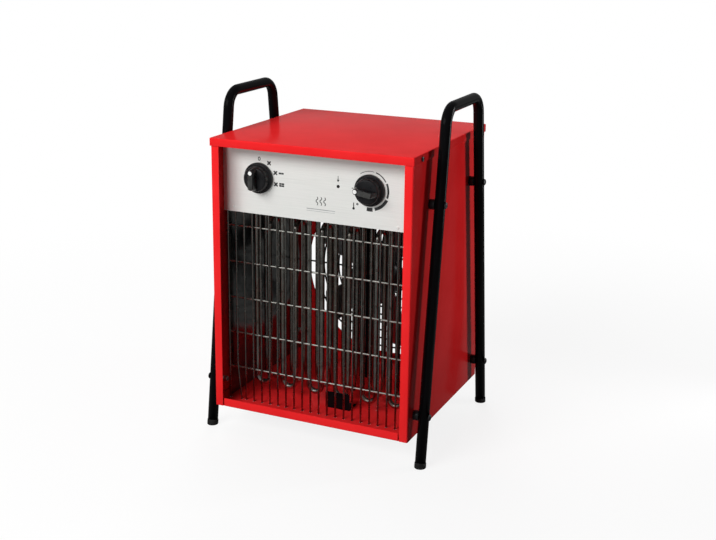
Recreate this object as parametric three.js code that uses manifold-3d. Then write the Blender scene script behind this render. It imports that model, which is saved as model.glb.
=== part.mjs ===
// Forced air heater: a sheet steel cabinet with a recessed wire grille, carried between two bent
// tube frames whose tops are the carrying handles.
// Millimetres. +Z is up, the front faces -Y, and +X is the right side seen from the front.
// The origin is on the floor, under the middle of the whole object's box.

import * as THREE from 'three';
import { mergeVertices } from 'three/addons/utils/BufferGeometryUtils.js';
import Module from 'manifold-3d';

const wasm = await Module();
wasm.setup();

// Cabinet
const cabinetWidth = 320;
const cabinetDepth = 300;
const cabinetBottom = 41;
const cabinetHeight = 420;
const sheet = 1.2;
const gap = 0.3;
const postWidth = 13;
const railHeight = 13;
const railSeam = 2;
const coverLip = 12;

// Recessed front
const recessDepth = 32.5;
const controlPanelDrop = 116;
const trayRise = 4;
const trayFlange = 12;

// Front grille
const wireDiameter = 2.8;
const wirePitch = 14;
const wireFusion = 0.4;
const wireStandOff = 0.6;
const rowCount = 5;
const rowPitch = 57;
const topRowDrop = 23;
const wireHoleClearance = 0.9;
const bentWireIndex = 1;
const bentWireShift = 6;
const bentWireHeight = 60;

// Tube frames
const tubeDiameter = 16;
const tubeWall = 1.5;
const frameStandOff = 7.4;
const handleAxisHeight = 517;
const handleHalfSpan = 67;
const footHalfSpan = 135.4;
const handleBendRadius = 28;
const footRimDiameter = 17.4;
const footRimHeight = 8;
const footStemLength = 22;
const footStemClearance = 0.6;

// Frame bolts, spacers and cover screws
const boltDiameter = 5;
const boltClearance = 0.3;
const boltHeadDiameter = 10;
const boltHeadHeight = 3;
const boltInsideLength = 7;
const upperBoltHeight = 382.5;
const lowerBoltHeight = 76;
const spacerDiameter = 15;
const spacerSaddle = 1.5;
const insertDiameter = 9;
const insertLength = 8;
const screwDiameter = 3.8;
const screwClearance = 0.4;
const screwHeadDiameter = 7.4;
const screwHeadHeight = 2;
const screwLength = 9;
const screwSetback = 28;

// Controls
const controlAxisDrop = 60;
const powerKnobInset = 61.5;
const thermostatKnobInset = 76.5;
const thermostatRestTurn = -80;
const resetButtonOffset = 50.5;
const knobDiameter = 46.4;
const knobSkirtHeight = 5.5;
const knobBodyDiameter = 39;
const knobBodyHeight = 16;
const knobHeight = 28.5;
const gripWidth = 10;
const gripBaseLength = 42;
const gripFaceLength = 28;
const knobStandOff = 0.6;
const shaftDiameter = 6;
const shaftClearance = 0.8;
const shaftInKnob = 12;
const shaftInBody = 14;
const switchWidth = 42;
const switchDepth = 38;
const thermostatDiameter = 34;
const thermostatDepth = 22;
const resetButtonDiameter = 4.2;
const resetButtonProud = 1;
const resetButtonTravel = 2;
const resetCollarDiameter = 7;
const resetCollarThickness = 2;
const cutoutDiameter = 24;
const cutoutDepth = 15;
const capillaryDiameter = 2;
const bulbDiameter = 6;
const bulbLength = 70;
const sensorSetback = 86;

// Heating elements
const elementCount = 6;
const elementPitch = 45;
const elementDiameter = 8;
const elementRunSpacing = 22;
const elementRowSpacing = 30;
const elementSetback = 37.5;
const elementFloorGap = 20;
const elementTopDrop = 20;
const elementLeadRise = 9;
const leadHoleClearance = 1;
const leadNutDiameter = 15;
const leadNutHeight = 4;
const bracketWidth = 40;
const bracketHeight = 26;
const bracketFoot = 26;
const bracketThickness = 1.5;
const bracketOffset = 18;
const shieldSheet = 0.8;
const shieldStrip = 18;
const shieldWireGap = 0.6;

// Motor, fan and rear guard
const airOpeningMargin = 12.5;
const airOpeningHeight = 155;
const motorDiameter = 74;
const motorLength = 60;
const motorShaftDiameter = 8;
const motorNoseDiameter = 34;
const motorNoseLength = 5;
const strapWidth = 40;
const strapThickness = 2;
const strapFoot = 22;
const fanTipClearance = 19;
const fanBladeCount = 5;
const fanHubDiameter = 56;
const fanHubLength = 18;
const bladeRootWidth = 34;
const bladeTipWidth = 58;
const bladeThickness = 1.6;
const bladePitch = 25;
const fanSetback = 17;
const guardWireDiameter = 2.8;
const guardRingPitch = 14;
const guardInnerRing = 24;
const guardOverlap = 4;
const lugDiameter = 12;
const lugReach = 6;

// Supply side
const glandInset = 53.5;
const glandThreadDiameter = 23;
const glandHexDiameter = 32;
const glandHexThickness = 5;
const glandCapLength = 17;
const glandBoreDiameter = 13;
const glandNutThickness = 6;
const glandClearance = 0.7;
const ventSlotLength = 34;
const ventSlotHeight = 4;
const ventSlotPitch = 10;
const ventSlotRows = 6;
const ventColumns = 2;
const ventColumnPitch = 46;
const ventX = -30;
const contactorSize = { x: 45, y: 60, z: 52 };
const contactorPlace = { x: -50, y: 40 };
const terminalBlockOffset = 7;
const terminalBlockSetback = 51;
const terminalBlockSize = { x: 72, y: 24, z: 22 };
const terminalPoles = 5;

// Places worked out from the sizes
const halfWidth = cabinetWidth / 2;
const halfDepth = cabinetDepth / 2;
const cabinetTop = cabinetBottom + cabinetHeight;
const wallTop = cabinetTop - sheet - gap;
const innerHalfWidth = halfWidth - sheet - gap;
const floorTop = cabinetBottom + sheet;
const panelFrontY = -halfDepth + recessDepth;
const panelBackY = panelFrontY + sheet;
const controlPanelBottom = cabinetTop - controlPanelDrop;
const trayBottom = controlPanelBottom + trayRise;
const trayTop = trayBottom + sheet;
const powerKnobX = powerKnobInset - innerHalfWidth;
const thermostatKnobX = innerHalfWidth - thermostatKnobInset;
const resetButtonX = thermostatKnobX - resetButtonOffset;
const glandX = innerHalfWidth - glandInset;
const airOpeningRadius = innerHalfWidth - airOpeningMargin;
const rearPanelOuterY = halfDepth - sheet - gap;
const rearPanelInnerY = rearPanelOuterY - sheet;
const tubeRadius = tubeDiameter / 2;
const frameX = halfWidth + frameStandOff + tubeRadius;
const legSlope = (footHalfSpan - handleHalfSpan) / handleAxisHeight;
const legLean = Math.atan(legSlope);
const controlAxisZ = cabinetTop - controlAxisDrop;
const motorAxisZ = cabinetBottom + airOpeningHeight;
const wireRadius = wireDiameter / 2;
const wireY = panelBackY + wireStandOff + wireRadius;
const rowY = wireY + wireDiameter - wireFusion;
const topRowZ = controlPanelBottom - topRowDrop;
const coverSide = halfWidth + gap + sheet;
const coverFront = halfDepth + gap + sheet;
const screwY = halfDepth - screwSetback;
const screwZ = cabinetTop - sheet - gap - (coverLip - sheet - gap) / 2 - 0.5 * gap;
const elementFrontY = panelFrontY + elementSetback;
const elementRearY = elementFrontY + elementRowSpacing;
const fanRearY = rearPanelInnerY - fanSetback + fanHubLength / 2;
const glandReach = rearPanelOuterY + gap + glandHexThickness + glandCapLength;

const roundSides = 12;
const smallSides = 8;
const wireSides = 6;
const bendSteps = 3;
const circle = Math.PI * 2;

const paint = {
  red: new THREE.MeshStandardMaterial({ color: 0xd8232e, roughness: 0.35, metalness: 0.1 }),
  black: new THREE.MeshStandardMaterial({ color: 0x101012, roughness: 0.25, metalness: 0.2 }),
  brushedPlate: new THREE.MeshStandardMaterial({ color: 0xcfd1cb, roughness: 0.45, metalness: 0.8 }),
  wire: new THREE.MeshStandardMaterial({ color: 0x4a4b46, roughness: 0.35, metalness: 0.9 }),
  element: new THREE.MeshStandardMaterial({ color: 0x33312e, roughness: 0.4, metalness: 0.8 }),
  blackPlastic: new THREE.MeshStandardMaterial({ color: 0x0d0d0e, roughness: 0.4, metalness: 0 }),
  footRubber: new THREE.MeshStandardMaterial({ color: 0x0b0b0b, roughness: 0.7, metalness: 0 }),
  zinc: new THREE.MeshStandardMaterial({ color: 0xa9aaa6, roughness: 0.4, metalness: 0.9 }),
  polished: new THREE.MeshStandardMaterial({ color: 0x7d7f7c, roughness: 0.15, metalness: 1 }),
  cream: new THREE.MeshStandardMaterial({ color: 0xd9d4c3, roughness: 0.6, metalness: 0 }),
  copper: new THREE.MeshStandardMaterial({ color: 0xb26a3c, roughness: 0.4, metalness: 0.9 }),
  motorCase: new THREE.MeshStandardMaterial({ color: 0x3b3c3e, roughness: 0.5, metalness: 0.6 }),
  fanSheet: new THREE.MeshStandardMaterial({ color: 0x8f9194, roughness: 0.4, metalness: 0.9 }),
};

// Joining and cutting

function toSolid(geometry) {
  const bare = geometry.clone();
  bare.deleteAttribute('normal');
  bare.deleteAttribute('uv');
  const merged = mergeVertices(bare);
  const corners = merged.index.array;
  const kept = [];
  for (let i = 0; i < corners.length; i += 3) {
    const [a, b, c] = [corners[i], corners[i + 1], corners[i + 2]];
    if (a !== b && b !== c && c !== a) kept.push(a, b, c);
  }
  return new wasm.Manifold(new wasm.Mesh({
    numProp: 3,
    vertProperties: Float32Array.from(merged.attributes.position.array),
    triVerts: Uint32Array.from(kept),
  }));
}

function toGeometry(solid) {
  const mesh = solid.getMesh();
  const geometry = new THREE.BufferGeometry();
  geometry.setAttribute('position', new THREE.BufferAttribute(mesh.vertProperties, 3));
  geometry.setIndex(new THREE.BufferAttribute(mesh.triVerts, 1));
  geometry.computeVertexNormals();
  return geometry;
}

function join(pieces) {
  return toGeometry(pieces.map(toSolid).reduce((sum, piece) => sum.add(piece)));
}

function cut(base, tools) {
  return toGeometry(tools.map(toSolid).reduce((rest, tool) => rest.subtract(tool), toSolid(base)));
}

// Simple shapes

function block(x0, x1, y0, y1, z0, z1) {
  const geometry = new THREE.BoxGeometry(x1 - x0, y1 - y0, z1 - z0);
  return geometry.translate((x0 + x1) / 2, (y0 + y1) / 2, (z0 + z1) / 2);
}

function rod(axis, radius, from, to, sides) {
  const geometry = new THREE.CylinderGeometry(radius, radius, to - from, sides);
  geometry.translate(0, (from + to) / 2, 0);
  if (axis === 'x') geometry.rotateZ(-Math.PI / 2);
  if (axis === 'z') geometry.rotateX(Math.PI / 2);
  return geometry;
}

function outline(points) {
  return new THREE.Shape(points.map(([x, y]) => new THREE.Vector2(x, y)));
}

function circlePoints(radius, sides) {
  const points = [];
  for (let i = 0; i < sides; i += 1) {
    const angle = (circle * i) / sides;
    points.push(new THREE.Vector2(radius * Math.cos(angle), radius * Math.sin(angle)));
  }
  return points;
}

function extrude(shape, depth) {
  return new THREE.ExtrudeGeometry(shape, { depth, bevelEnabled: false });
}

// A round body about +Z, from [radius, height] points that start and end on the axis.
function spun(profile, sides) {
  const points = profile.map(([radius, height]) => new THREE.Vector2(radius, height));
  return new THREE.LatheGeometry(points, sides).rotateX(Math.PI / 2);
}

// A path of straight runs, with one station at each end of a run and a few round each bend.
class BentPath extends THREE.Curve {
  constructor(stations) {
    super();
    this.stations = stations;
  }

  getPoint(t, target = new THREE.Vector3()) {
    const last = this.stations.length - 1;
    const place = Math.min(Math.max(t, 0), 1) * last;
    const index = Math.min(Math.floor(place), last - 1);
    return target.lerpVectors(this.stations[index], this.stations[index + 1], place - index);
  }

  getUtoTmapping(u) {
    return u;
  }
}

function bendThrough(corners, radius, steps) {
  const stations = [corners[0].clone()];
  for (let i = 1; i < corners.length - 1; i += 1) {
    const into = corners[i].clone().sub(corners[i - 1]).normalize();
    const out = corners[i + 1].clone().sub(corners[i]).normalize();
    const turn = into.angleTo(out);
    const bend = radius[i - 1];
    const start = corners[i].clone().addScaledVector(into, -bend * Math.tan(turn / 2));
    const axis = into.clone().cross(out).normalize();
    const inward = axis.clone().cross(into);
    const centre = start.clone().addScaledVector(inward, bend);
    for (let step = 0; step <= steps; step += 1) {
      const arm = inward.clone().multiplyScalar(-bend).applyAxisAngle(axis, (turn * step) / steps);
      const station = centre.clone().add(arm);
      if (station.distanceTo(stations.at(-1)) > 0.01) stations.push(station);
    }
  }
  stations.push(corners.at(-1).clone());
  return stations;
}

function bentRod(shape, stations) {
  return new THREE.ExtrudeGeometry(shape, {
    steps: stations.length - 1,
    bevelEnabled: false,
    extrudePath: new BentPath(stations),
  });
}

const heater = new THREE.Group();
heater.position.y = (coverFront - glandReach) / 2;

function addMesh(parent, name, geometry, material) {
  const mesh = new THREE.Mesh(geometry, material);
  mesh.name = name;
  parent.add(mesh);
  return mesh;
}

// Frame tubes, feet, spacers and bolts. The right side is modelled, and the left side is the same
// pieces turned half round about +Z.

function legY(height) {
  return footHalfSpan - legSlope * height;
}

function legPoint(end, height) {
  return new THREE.Vector3(frameX, end * legY(height), height);
}

const bolts = [
  { level: 'upper', z: upperBoltHeight },
  { level: 'lower', z: lowerBoltHeight },
];

function frameTube() {
  const legEnd = (footRimHeight + gap) * Math.cos(legLean);
  const corners = [
    legPoint(-1, legEnd),
    legPoint(-1, handleAxisHeight),
    legPoint(1, handleAxisHeight),
    legPoint(1, legEnd),
  ];
  const section = new THREE.Shape(circlePoints(tubeRadius, roundSides));
  section.holes.push(new THREE.Path(circlePoints(tubeRadius - tubeWall, roundSides)));
  const radii = [handleBendRadius, handleBendRadius];
  const tube = bentRod(section, bendThrough(corners, radii, 2 * bendSteps));
  const holes = [];
  for (const end of [-1, 1]) {
    for (const { z } of bolts) {
      const radius = boltDiameter / 2 + boltClearance;
      const hole = rod('x', radius, frameX - tubeDiameter, frameX + tubeDiameter, smallSides);
      holes.push(hole.translate(0, end * legY(z), z));
    }
  }
  return cut(tube, holes);
}

function foot(end) {
  const rim = footRimDiameter / 2;
  const stem = tubeRadius - tubeWall - footStemClearance;
  const plug = spun([
    [0, -footRimHeight / 2],
    [rim, -footRimHeight / 2],
    [rim, footRimHeight],
    [stem, footRimHeight],
    [stem, footRimHeight + footStemLength],
    [0, footRimHeight + footStemLength],
  ], roundSides);
  plug.rotateX(end * legLean);
  plug.translate(frameX, end * footHalfSpan, 0);
  const under = block(
    frameX - footRimDiameter, frameX + footRimDiameter,
    end * footHalfSpan - footRimDiameter, end * footHalfSpan + footRimDiameter,
    -footRimDiameter, 0,
  );
  return cut(plug, [under]);
}

// A round distance piece, with a saddle cut where it meets the tube.
function spacer(end, z) {
  const y = end * legY(z);
  const outer = halfWidth + frameStandOff + spacerSaddle;
  const round = rod('x', spacerDiameter / 2, halfWidth + gap, outer, roundSides).translate(0, y, z);
  const bore = rod('x', boltDiameter / 2 + boltClearance, 0, frameX, smallSides).translate(0, y, z);
  const reach = 2 * spacerDiameter;
  const saddle = rod('z', tubeRadius + gap, -reach, reach, 2 * smallSides);
  saddle.rotateX(end * legLean).translate(frameX, y, z);
  return cut(round, [bore, saddle]);
}

// The head bears on the outside of the tube, and the shank runs into the threaded insert.
function frameBolt(end, z) {
  const seat = frameX + tubeRadius + gap;
  const shankLength = seat - (halfWidth - sheet - boltInsideLength);
  const head = boltHeadDiameter / 2;
  const shank = boltDiameter / 2;
  const profile = [
    [0, -shankLength],
    [shank, -shankLength],
    [shank, 0],
    [head, 0],
    [head, boltHeadHeight * 0.35],
    [head * 0.72, boltHeadHeight * 0.85],
    [0, boltHeadHeight],
  ];
  return spun(profile, smallSides).rotateY(Math.PI / 2).translate(seat, end * legY(z), z);
}

// A channel whose narrow returns are the corner posts, with a threaded insert at each bolt.
function sidePanel() {
  const inner = halfWidth - sheet;
  const postEdge = halfWidth - postWidth;
  const channel = extrude(outline([
    [halfWidth, -halfDepth],
    [halfWidth, halfDepth],
    [postEdge, halfDepth],
    [postEdge, halfDepth - sheet],
    [inner, halfDepth - sheet],
    [inner, -halfDepth + sheet],
    [postEdge, -halfDepth + sheet],
    [postEdge, -halfDepth],
  ]), wallTop - cabinetBottom).translate(0, 0, cabinetBottom);
  const inserts = [channel];
  const holes = [];
  for (const end of [-1, 1]) {
    for (const { z } of bolts) {
      const insert = rod('x', insertDiameter / 2, inner - insertLength, inner + sheet / 2, smallSides);
      inserts.push(insert.translate(0, end * legY(z), z));
      const bore = rod('x', boltDiameter / 2 + boltClearance, 0, frameX, smallSides);
      holes.push(bore.translate(0, end * legY(z), z));
    }
    const screwHole = rod('x', screwDiameter / 2 + screwClearance, 0, frameX, smallSides);
    holes.push(screwHole.translate(0, end * screwY, screwZ));
  }
  return cut(join(inserts), holes);
}

function coverScrew(end) {
  const seat = coverSide + gap;
  const head = screwHeadDiameter / 2;
  const shank = screwDiameter / 2;
  const profile = [
    [0, -screwLength],
    [shank, -screwLength],
    [shank, 0],
    [head, 0],
    [head * 0.8, screwHeadHeight * 0.8],
    [0, screwHeadHeight],
  ];
  return spun(profile, smallSides).rotateY(Math.PI / 2).translate(seat, end * screwY, screwZ);
}

for (const [side, turn] of [['right', 0], ['left', Math.PI]]) {
  const half = new THREE.Group();
  half.rotation.z = turn;
  heater.add(half);
  addMesh(half, `${side}_side_panel`, sidePanel(), paint.red);
  addMesh(half, `${side}_frame_tube`, frameTube(), paint.black);
  for (const end of [-1, 1]) {
    const place = end * Math.cos(turn) < 0 ? 'front' : 'rear';
    addMesh(half, `${side}_${place}_foot`, foot(end), paint.footRubber);
    addMesh(half, `${side}_${place}_cover_screw`, coverScrew(end), paint.black);
    for (const { level, z } of bolts) {
      addMesh(half, `${side}_${place}_${level}_spacer`, spacer(end, z), paint.blackPlastic);
      addMesh(half, `${side}_${place}_${level}_bolt`, frameBolt(end, z), paint.black);
    }
  }
}

// Cover: a shallow tray turned upside down over the side panels.

function topCover() {
  const shell = block(-coverSide, coverSide, -coverFront, coverFront, cabinetTop - coverLip, cabinetTop);
  const wide = coverSide - sheet;
  const deep = coverFront - sheet;
  const tools = [block(-wide, wide, -deep, deep, cabinetTop - 2 * coverLip, cabinetTop - sheet)];
  for (const end of [-1, 1]) {
    const hole = rod('x', screwDiameter / 2 + screwClearance, -2 * halfWidth, 2 * halfWidth, smallSides);
    tools.push(hole.translate(0, end * screwY, screwZ));
  }
  return cut(shell, tools);
}
addMesh(heater, 'top_cover', topCover(), paint.red);

// Front grille: upright wires that stand in holes in the base pan, tied by cross wires behind them.

const wireSpan = 2 * (innerHalfWidth - wireDiameter);
const wireCount = 2 * Math.floor(wireSpan / 2 / wirePitch) + 1;

function wireX(index) {
  return (index - (wireCount - 1) / 2) * wirePitch;
}

function wireFootX(index) {
  return wireX(index) + (index === bentWireIndex ? bentWireShift : 0);
}

function frontGrille() {
  const wires = [];
  const top = trayBottom - gap;
  const section = new THREE.Shape(circlePoints(wireRadius, wireSides));
  for (let index = 0; index < wireCount; index += 1) {
    const stations = [new THREE.Vector3(wireX(index), wireY, top)];
    if (index === bentWireIndex) {
      stations.push(new THREE.Vector3(wireX(index), wireY, cabinetBottom + bentWireHeight));
    }
    stations.push(new THREE.Vector3(wireFootX(index), wireY, cabinetBottom + gap));
    wires.push(bentRod(section, stations));
  }
  const reach = innerHalfWidth - sheet - gap;
  for (let row = 0; row < rowCount; row += 1) {
    const wire = rod('x', wireRadius, -reach, reach, wireSides);
    wires.push(wire.translate(0, rowY, topRowZ - row * rowPitch));
  }
  return join(wires);
}
addMesh(heater, 'front_grille', frontGrille(), paint.wire);

// Base pan: the cabinet floor, with the front rail between the posts and low flanges elsewhere.

function basePan() {
  const railEnd = halfWidth - postWidth - railSeam;
  const rearEdge = rearPanelInnerY - gap;
  const frontEdge = -halfDepth + sheet + gap;
  const side = innerHalfWidth;
  const railTop = cabinetBottom + railHeight;
  const sheets = [
    block(-side, side, frontEdge, rearEdge, cabinetBottom, floorTop),
    block(-railEnd, railEnd, -halfDepth, frontEdge + sheet, cabinetBottom, floorTop),
    block(-railEnd, railEnd, -halfDepth, -halfDepth + sheet, cabinetBottom, railTop),
    block(-side, side, rearEdge - sheet, rearEdge, cabinetBottom, railTop),
    block(-side, -side + sheet, frontEdge, rearEdge, cabinetBottom, railTop),
    block(side - sheet, side, frontEdge, rearEdge, cabinetBottom, railTop),
  ];
  const holes = [];
  for (let index = 0; index < wireCount; index += 1) {
    const hole = rod('z', wireRadius + wireHoleClearance, 0, railTop, wireSides);
    holes.push(hole.translate(wireFootX(index), wireY, 0));
  }
  return cut(join(sheets), holes);
}
addMesh(heater, 'base_pan', basePan(), paint.red);

// Control panel and the tray behind it, which is the floor of the electrical compartment.

function controlPanel() {
  const plate = block(
    -innerHalfWidth, innerHalfWidth,
    panelFrontY, panelBackY,
    controlPanelBottom, wallTop,
  );
  const shaftHole = shaftDiameter / 2 + shaftClearance;
  const buttonHole = resetButtonDiameter / 2 + gap;
  const holes = [[powerKnobX, shaftHole], [thermostatKnobX, shaftHole], [resetButtonX, buttonHole]];
  return cut(plate, holes.map(([x, radius]) => {
    const hole = rod('y', radius, panelFrontY - sheet, panelBackY + sheet, roundSides);
    return hole.translate(x, 0, controlAxisZ);
  }));
}
addMesh(heater, 'control_panel', controlPanel(), paint.brushedPlate);

function elementX(index) {
  return (index - (elementCount - 1) / 2) * elementPitch;
}

const sensorY = panelFrontY + sensorSetback;

function controlTray() {
  const front = panelBackY + gap;
  const rear = rearPanelInnerY - gap;
  const sheets = join([
    block(-innerHalfWidth, innerHalfWidth, front, rear, trayBottom, trayTop),
    block(-innerHalfWidth, innerHalfWidth, front, front + sheet, trayBottom, trayTop + trayFlange),
  ]);
  const holes = [];
  for (let index = 0; index < elementCount; index += 1) {
    for (const y of [elementFrontY, elementRearY]) {
      const radius = elementDiameter / 2 + leadHoleClearance;
      const hole = rod('z', radius, trayBottom - sheet, trayTop + sheet, smallSides);
      holes.push(hole.translate(elementX(index) - elementRunSpacing / 2, y, 0));
    }
  }
  const bulbHole = rod('z', bulbDiameter / 2 + gap, trayBottom - sheet, trayTop + sheet, smallSides);
  holes.push(bulbHole.translate(thermostatKnobX, sensorY, 0));
  return cut(sheets, holes);
}
addMesh(heater, 'control_tray', controlTray(), paint.zinc);

// Knobs, built about +Z with the pointer along +Y, then turned to face the front.

function knob() {
  const radius = knobDiameter / 2;
  const body = knobBodyDiameter / 2;
  const dial = spun([
    [0, 0],
    [radius, 0],
    [radius, knobSkirtHeight * 0.7],
    [radius * 0.96, knobSkirtHeight],
    [body, knobSkirtHeight],
    [body * 0.96, knobBodyHeight * 0.85],
    [body * 0.8, knobBodyHeight],
    [0, knobBodyHeight],
  ], 2 * roundSides);
  const grip = extrude(outline([
    [-gripBaseLength / 2, knobSkirtHeight * 0.6],
    [gripBaseLength / 2, knobSkirtHeight * 0.6],
    [gripFaceLength / 2, knobHeight],
    [-gripFaceLength / 2, knobHeight],
  ]), gripWidth);
  grip.translate(0, 0, -gripWidth / 2).rotateX(Math.PI / 2).rotateZ(Math.PI / 2);
  const bore = rod('z', shaftDiameter / 2 + gap, -1, shaftInKnob + gap, smallSides);
  return cut(join([dial, grip]), [bore]).rotateX(Math.PI / 2);
}

// Shaft from inside the knob, through the panel, into the control behind it.
function controlShaft() {
  const front = panelFrontY - knobStandOff - shaftInKnob;
  return rod('y', shaftDiameter / 2, front, panelBackY + gap + shaftInBody, smallSides);
}

function shaftBore() {
  return rod('y', shaftDiameter / 2 + gap, panelFrontY, panelBackY + 2 * gap + shaftInBody, smallSides);
}

function rotarySwitch() {
  const half = switchWidth / 2;
  const front = panelBackY + gap;
  const stack = join([
    block(-half, half, front, front + switchDepth * 0.4, -half, half),
    block(-half * 0.85, half * 0.85, front, front + switchDepth, -half * 0.85, half * 0.85),
  ]);
  return cut(stack, [shaftBore()]);
}

function thermostatBody() {
  const front = panelBackY + gap;
  const can = rod('y', thermostatDiameter / 2, front, front + thermostatDepth, roundSides);
  return cut(can, [shaftBore()]);
}

const powerKnob = addMesh(heater, 'power_knob', knob(), paint.blackPlastic);
powerKnob.position.set(powerKnobX, panelFrontY - knobStandOff, controlAxisZ);
const thermostatKnob = addMesh(heater, 'thermostat_knob', knob(), paint.blackPlastic);
thermostatKnob.position.set(thermostatKnobX, panelFrontY - knobStandOff, controlAxisZ);
thermostatKnob.rotation.y = THREE.MathUtils.degToRad(thermostatRestTurn);

for (const [name, geometry, x, material] of [
  ['switch_shaft', controlShaft(), powerKnobX, paint.zinc],
  ['rotary_switch', rotarySwitch(), powerKnobX, paint.cream],
  ['thermostat_shaft', controlShaft(), thermostatKnobX, paint.zinc],
  ['thermostat_body', thermostatBody(), thermostatKnobX, paint.zinc],
]) {
  addMesh(heater, name, geometry, material).position.set(x, 0, controlAxisZ);
}

// Sensor of the thermostat: a thin tube back and down through the tray, ending in a bulb.

function thermostatSensor() {
  const start = panelBackY + 2 * gap + thermostatDepth;
  const x = thermostatKnobX;
  const bulbTop = trayBottom - bulbDiameter;
  const corners = [
    new THREE.Vector3(x, start, controlAxisZ),
    new THREE.Vector3(x, sensorY, controlAxisZ),
    new THREE.Vector3(x, sensorY, bulbTop - bulbDiameter),
  ];
  const section = new THREE.Shape(circlePoints(capillaryDiameter / 2, wireSides));
  const capillary = bentRod(section, bendThrough(corners, [4 * capillaryDiameter], bendSteps));
  const bulb = rod('z', bulbDiameter / 2, bulbTop - bulbLength, bulbTop, smallSides);
  return join([capillary, bulb.translate(x, sensorY, 0)]);
}
addMesh(heater, 'thermostat_sensor', thermostatSensor(), paint.copper);

// Reset button and the thermal cut-out that it resets. The collar keeps the button behind the panel,
// inside the mouth of the cut-out's case.

const collarFront = panelBackY + gap;
const cutoutMouth = collarFront + resetCollarThickness + resetButtonTravel + gap;

function resetButton() {
  const tail = resetCollarThickness + resetButtonTravel + gap + cutoutDepth / 3;
  const radius = resetButtonDiameter / 2;
  const nose = collarFront - (panelFrontY - resetButtonProud);
  const profile = [
    [0, -tail],
    [radius, -tail],
    [radius, -resetCollarThickness],
    [resetCollarDiameter / 2, -resetCollarThickness],
    [resetCollarDiameter / 2, 0],
    [radius, 0],
    [radius, nose],
    [0, nose],
  ];
  return spun(profile, roundSides).rotateX(Math.PI / 2).translate(0, collarFront, 0);
}

function thermalCutout() {
  const can = rod('y', cutoutDiameter / 2, collarFront, cutoutMouth + cutoutDepth, roundSides);
  const mouth = rod('y', resetCollarDiameter / 2 + 2 * gap, panelBackY, cutoutMouth, roundSides);
  const depth = cutoutDepth / 3 + resetButtonTravel + gap;
  const bore = rod('y', resetButtonDiameter / 2 + gap, panelBackY, cutoutMouth + depth, roundSides);
  return cut(can, [mouth, bore]);
}
addMesh(heater, 'reset_button', resetButton(), paint.blackPlastic)
  .position.set(resetButtonX, 0, controlAxisZ);
addMesh(heater, 'thermal_cutout', thermalCutout(), paint.cream)
  .position.set(resetButtonX, 0, controlAxisZ);

// Heating elements: one tube each, bent into a rear hairpin and a front hairpin, joined by a bend
// over the top. They hang from the tray by the hexagon collars on their two ends.

const hairpinBottom = floorTop + elementFloorGap;
const overBend = trayBottom - elementTopDrop;

function heatingElement() {
  const half = elementRunSpacing / 2;
  const leadTop = trayTop + elementLeadRise;
  const corners = [
    [-half, elementRearY, leadTop],
    [-half, elementRearY, hairpinBottom],
    [half, elementRearY, hairpinBottom],
    [half, elementRearY, overBend],
    [half, elementFrontY, overBend],
    [half, elementFrontY, hairpinBottom],
    [-half, elementFrontY, hairpinBottom],
    [-half, elementFrontY, leadTop],
  ].map(([x, y, z]) => new THREE.Vector3(x, y, z));
  const over = elementRowSpacing / 2;
  const section = new THREE.Shape(circlePoints(elementDiameter / 2, smallSides));
  const tube = bentRod(section, bendThrough(corners, [half, half, over, over, half, half], bendSteps));
  const seat = trayTop + gap;
  const collars = [elementFrontY, elementRearY].map((y) => {
    return rod('z', leadNutDiameter / 2, seat, seat + leadNutHeight, 6).translate(-half, y, 0);
  });
  return join([tube, ...collars]);
}
for (let index = 0; index < elementCount; index += 1) {
  const element = addMesh(heater, `heating_element_${index + 1}`, heatingElement(), paint.element);
  element.position.x = elementX(index);
}

// Bracket on the floor that keeps the hairpins from swinging forward.

function elementBracket() {
  const y = elementFrontY - elementDiameter / 2 - gap - bracketThickness;
  const z = floorTop + gap;
  const angle = join([
    block(-bracketWidth / 2, bracketWidth / 2, y, y + bracketThickness, z, z + bracketHeight),
    block(-bracketWidth / 2, bracketWidth / 2, y, y + bracketFoot, z, z + bracketThickness),
  ]);
  return angle.translate(bracketOffset, 0, 0);
}
addMesh(heater, 'element_bracket', elementBracket(), paint.black);

// Heat shield: polished side sheets that keep the heat off the paint, joined across the top behind
// the grille. The rear threaded inserts pass through them.

function heatShield() {
  const outer = innerHalfWidth - sheet - gap;
  const inner = outer - shieldSheet;
  const front = rowY + wireRadius + shieldWireGap;
  const rear = rearPanelInnerY - sheet - 2 * gap;
  const bottom = floorTop + gap;
  const top = trayBottom - gap;
  const sheets = join([
    block(-outer, -inner, front, rear, bottom, top),
    block(inner, outer, front, rear, bottom, top),
    block(-outer, outer, front, front + shieldStrip, top - shieldSheet, top),
  ]);
  const hole = rod('x', insertDiameter / 2 + 2 * gap, -halfWidth, halfWidth, roundSides);
  return cut(sheets, [hole.translate(0, legY(lowerBoltHeight), lowerBoltHeight)]);
}
addMesh(heater, 'heat_shield', heatShield(), paint.polished);

// Rear panel with its round air opening, vent slots and gland hole.

function rearPanel() {
  const plate = block(
    -innerHalfWidth, innerHalfWidth,
    rearPanelInnerY, rearPanelOuterY,
    floorTop + gap, wallTop,
  );
  const tools = [
    rod('y', airOpeningRadius, 0, cabinetDepth, 4 * roundSides).translate(0, 0, motorAxisZ),
    rod('y', glandThreadDiameter / 2 + glandClearance, 0, cabinetDepth, roundSides)
      .translate(glandX, 0, controlAxisZ),
  ];
  for (let row = 0; row < ventSlotRows; row += 1) {
    const z = controlAxisZ + (row - (ventSlotRows - 1) / 2) * ventSlotPitch;
    for (let column = 0; column < ventColumns; column += 1) {
      const centre = ventX + (column - (ventColumns - 1) / 2) * ventColumnPitch;
      const left = centre - ventSlotLength / 2;
      tools.push(block(left, left + ventSlotLength, 0, cabinetDepth, z, z + ventSlotHeight));
    }
  }
  return cut(plate, tools);
}
addMesh(heater, 'rear_panel', rearPanel(), paint.red);

// Rear guard: wire rings on crossed rods, screwed to the rear panel through four lugs.

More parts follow.
